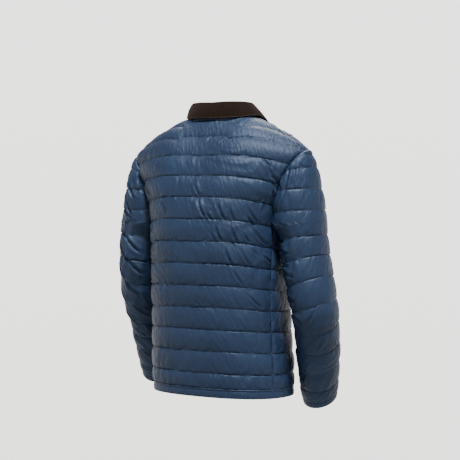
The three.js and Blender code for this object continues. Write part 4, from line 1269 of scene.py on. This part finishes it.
def build_jacket():
    shell = nylon_material("nylon", (0.0046, 0.0094, 0.0226), (0.0060, 0.0122, 0.0288))
    cord = cord_material()
    thread = thread_material("thread", (0.030, 0.046, 0.078))
    brown_thread = thread_material("collar_thread", (0.050, 0.032, 0.024))
    quilting = body_lines()
    panels = [("back", True, 1, BACK_CREASES, 11)]
    for side, word, seed in ((1, "left", 12), (-1, "right", 13)):
        panels.append((f"front_{word}", False, side, mirrored_front(FRONT_CREASES, side), seed))
    for node, behind, side, creases, seed in panels:
        wall = panel_wall(behind, side, creases, seed * 100)
        cloth_piece(f"{node}_cloth", wall, shell, "nylon", "hung", node)
        stitches = stitch_object(f"{node}_stitches", sewn_lines(wall, quilting[1:]), thread)
        dress(stitches, "nylon")
    for side, word, creases, seed, nodes in (
        (1, "left", LEFT_SLEEVE_CREASES, 14, ("sleeve_left",)),
        (-1, "right", RIGHT_SLEEVE_CREASES, 15, ("sleeve_right_upper", "sleeve_right_lower")),
    ):
        wall = sleeve_wall(side, creases, seed * 100)
        cloth_piece(f"sleeve_{word}_cloth", wall, shell, "nylon", "hung", *nodes)
        stitches = stitch_object(f"sleeve_{word}_stitches", sewn_lines(wall, sleeve_lines()[1:]), thread)
        dress(stitches, "nylon")
    cloth_piece("collar_stand_cloth", stand_wall(), cord, "cord", "hung", "collar_stand")
    leaf = leaf_wall()
    cloth_piece("collar_leaf_cloth", leaf, cord, "cord", "folded", "collar_leaf")
    edge_row = [leaf["outer"][int(np.argmin(np.abs(leaf["level"][:, 0] - 0.005)))]]
    dress(stitch_object("collar_stitches", edge_row, brown_thread), "cord")
    placket = placket_wall()
    cloth_piece("placket_cloth", placket, shell, "nylon", "hung", "front_placket")
    rows = [placket["outer"][:, c] for c in (4, -5)]
    dress(stitch_object("placket_stitches", rows, thread), "nylon")


def finish_studs():
    enamel = stud_material()
    for name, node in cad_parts.items():
        if name.startswith("stud_"):
            node.data.materials.clear()
            node.data.materials.append(enamel)


def sun_light(name, place, power, spread, colour):
    """A soft light from the direction of a place, spread over an angle."""
    data = bpy.data.lights.new(name, "SUN")
    data.energy = power
    data.angle = math.radians(spread)
    data.color = colour
    light = bpy.data.objects.new(name, data)
    light.rotation_euler = (-Vector(place)).to_track_quat("-Z", "Y").to_euler()
    bpy.context.scene.collection.objects.link(light)


def view_place(turn, distance, height):
    """A place round the object, turned from the camera's side."""
    angle = VIEW_TURN + math.radians(turn)
    return (-math.sin(angle) * distance, math.cos(angle) * distance, height)


def build_stage():
    pale = stage_material()
    turns = [2 * math.pi * i / FLOOR_SIDES for i in range(FLOOR_SIDES)]
    corners = [(FLOOR_RADIUS * math.cos(turn), FLOOR_RADIUS * math.sin(turn), FLOOR_Z) for turn in turns]
    mesh = bpy.data.meshes.new("floor")
    mesh.from_pydata(corners, [], [list(range(FLOOR_SIDES))])
    mesh.materials.append(pale)
    floor = bpy.data.objects.new("floor", mesh)
    bpy.context.scene.collection.objects.link(floor)
    bpy.context.scene.world = studio_air()
    sun_light("key", view_place(6, 1, 2.1), 16.0, 10, (1.0, 0.99, 0.97))
    sun_light("top", view_place(-130, 0.5, 2), 0.8, 50, (0.96, 0.98, 1.0))
    sun_light("front", view_place(170, 1, 1.1), 3.2, 30, (1.0, 0.99, 0.97))


def studio_air():
    """Pale air, bright along the horizon and dimmer overhead."""
    world = bpy.data.worlds.new("studio_air")
    world.use_nodes = True
    tree = world.node_tree
    coordinates = add_node(tree, "ShaderNodeTexCoord")
    parts = add_node(tree, "ShaderNodeSeparateXYZ")
    tree.links.new(coordinates.outputs["Generated"], parts.inputs[0])
    climb = add_node(tree, "ShaderNodeMapRange")
    climb.inputs["From Min"].default_value = -1
    tree.links.new(parts.outputs["Z"], climb.inputs["Value"])
    ramp = add_node(tree, "ShaderNodeValToRGB")
    steps = ramp.color_ramp.elements
    for place, shade in AIR_STEPS[1:-1]:
        steps.new(place)
    for step, (place, shade) in zip(steps, AIR_STEPS):
        step.position = place
        step.color = (shade, 0.985 * shade, 0.955 * shade, 1)
    tree.links.new(climb.outputs[0], ramp.inputs[0])
    tree.links.new(ramp.outputs[0], tree.nodes["Background"].inputs["Color"])
    tree.nodes["Background"].inputs["Strength"].default_value = 2.7
    return world


def build_camera():
    data = bpy.data.cameras.new("camera")
    data.lens = LENS
    data.sensor_width = SENSOR
    data.shift_x, data.shift_y = SHIFT
    camera = bpy.data.objects.new("camera", data)
    camera.location = view_place(0, CAMERA_DISTANCE, CAMERA_HEIGHT)
    camera.rotation_euler = (math.pi / 2, 0, VIEW_TURN + math.pi)
    bpy.context.scene.collection.objects.link(camera)
    bpy.context.scene.camera = camera


build_camera()
build_stage()
build_jacket()
finish_studs()
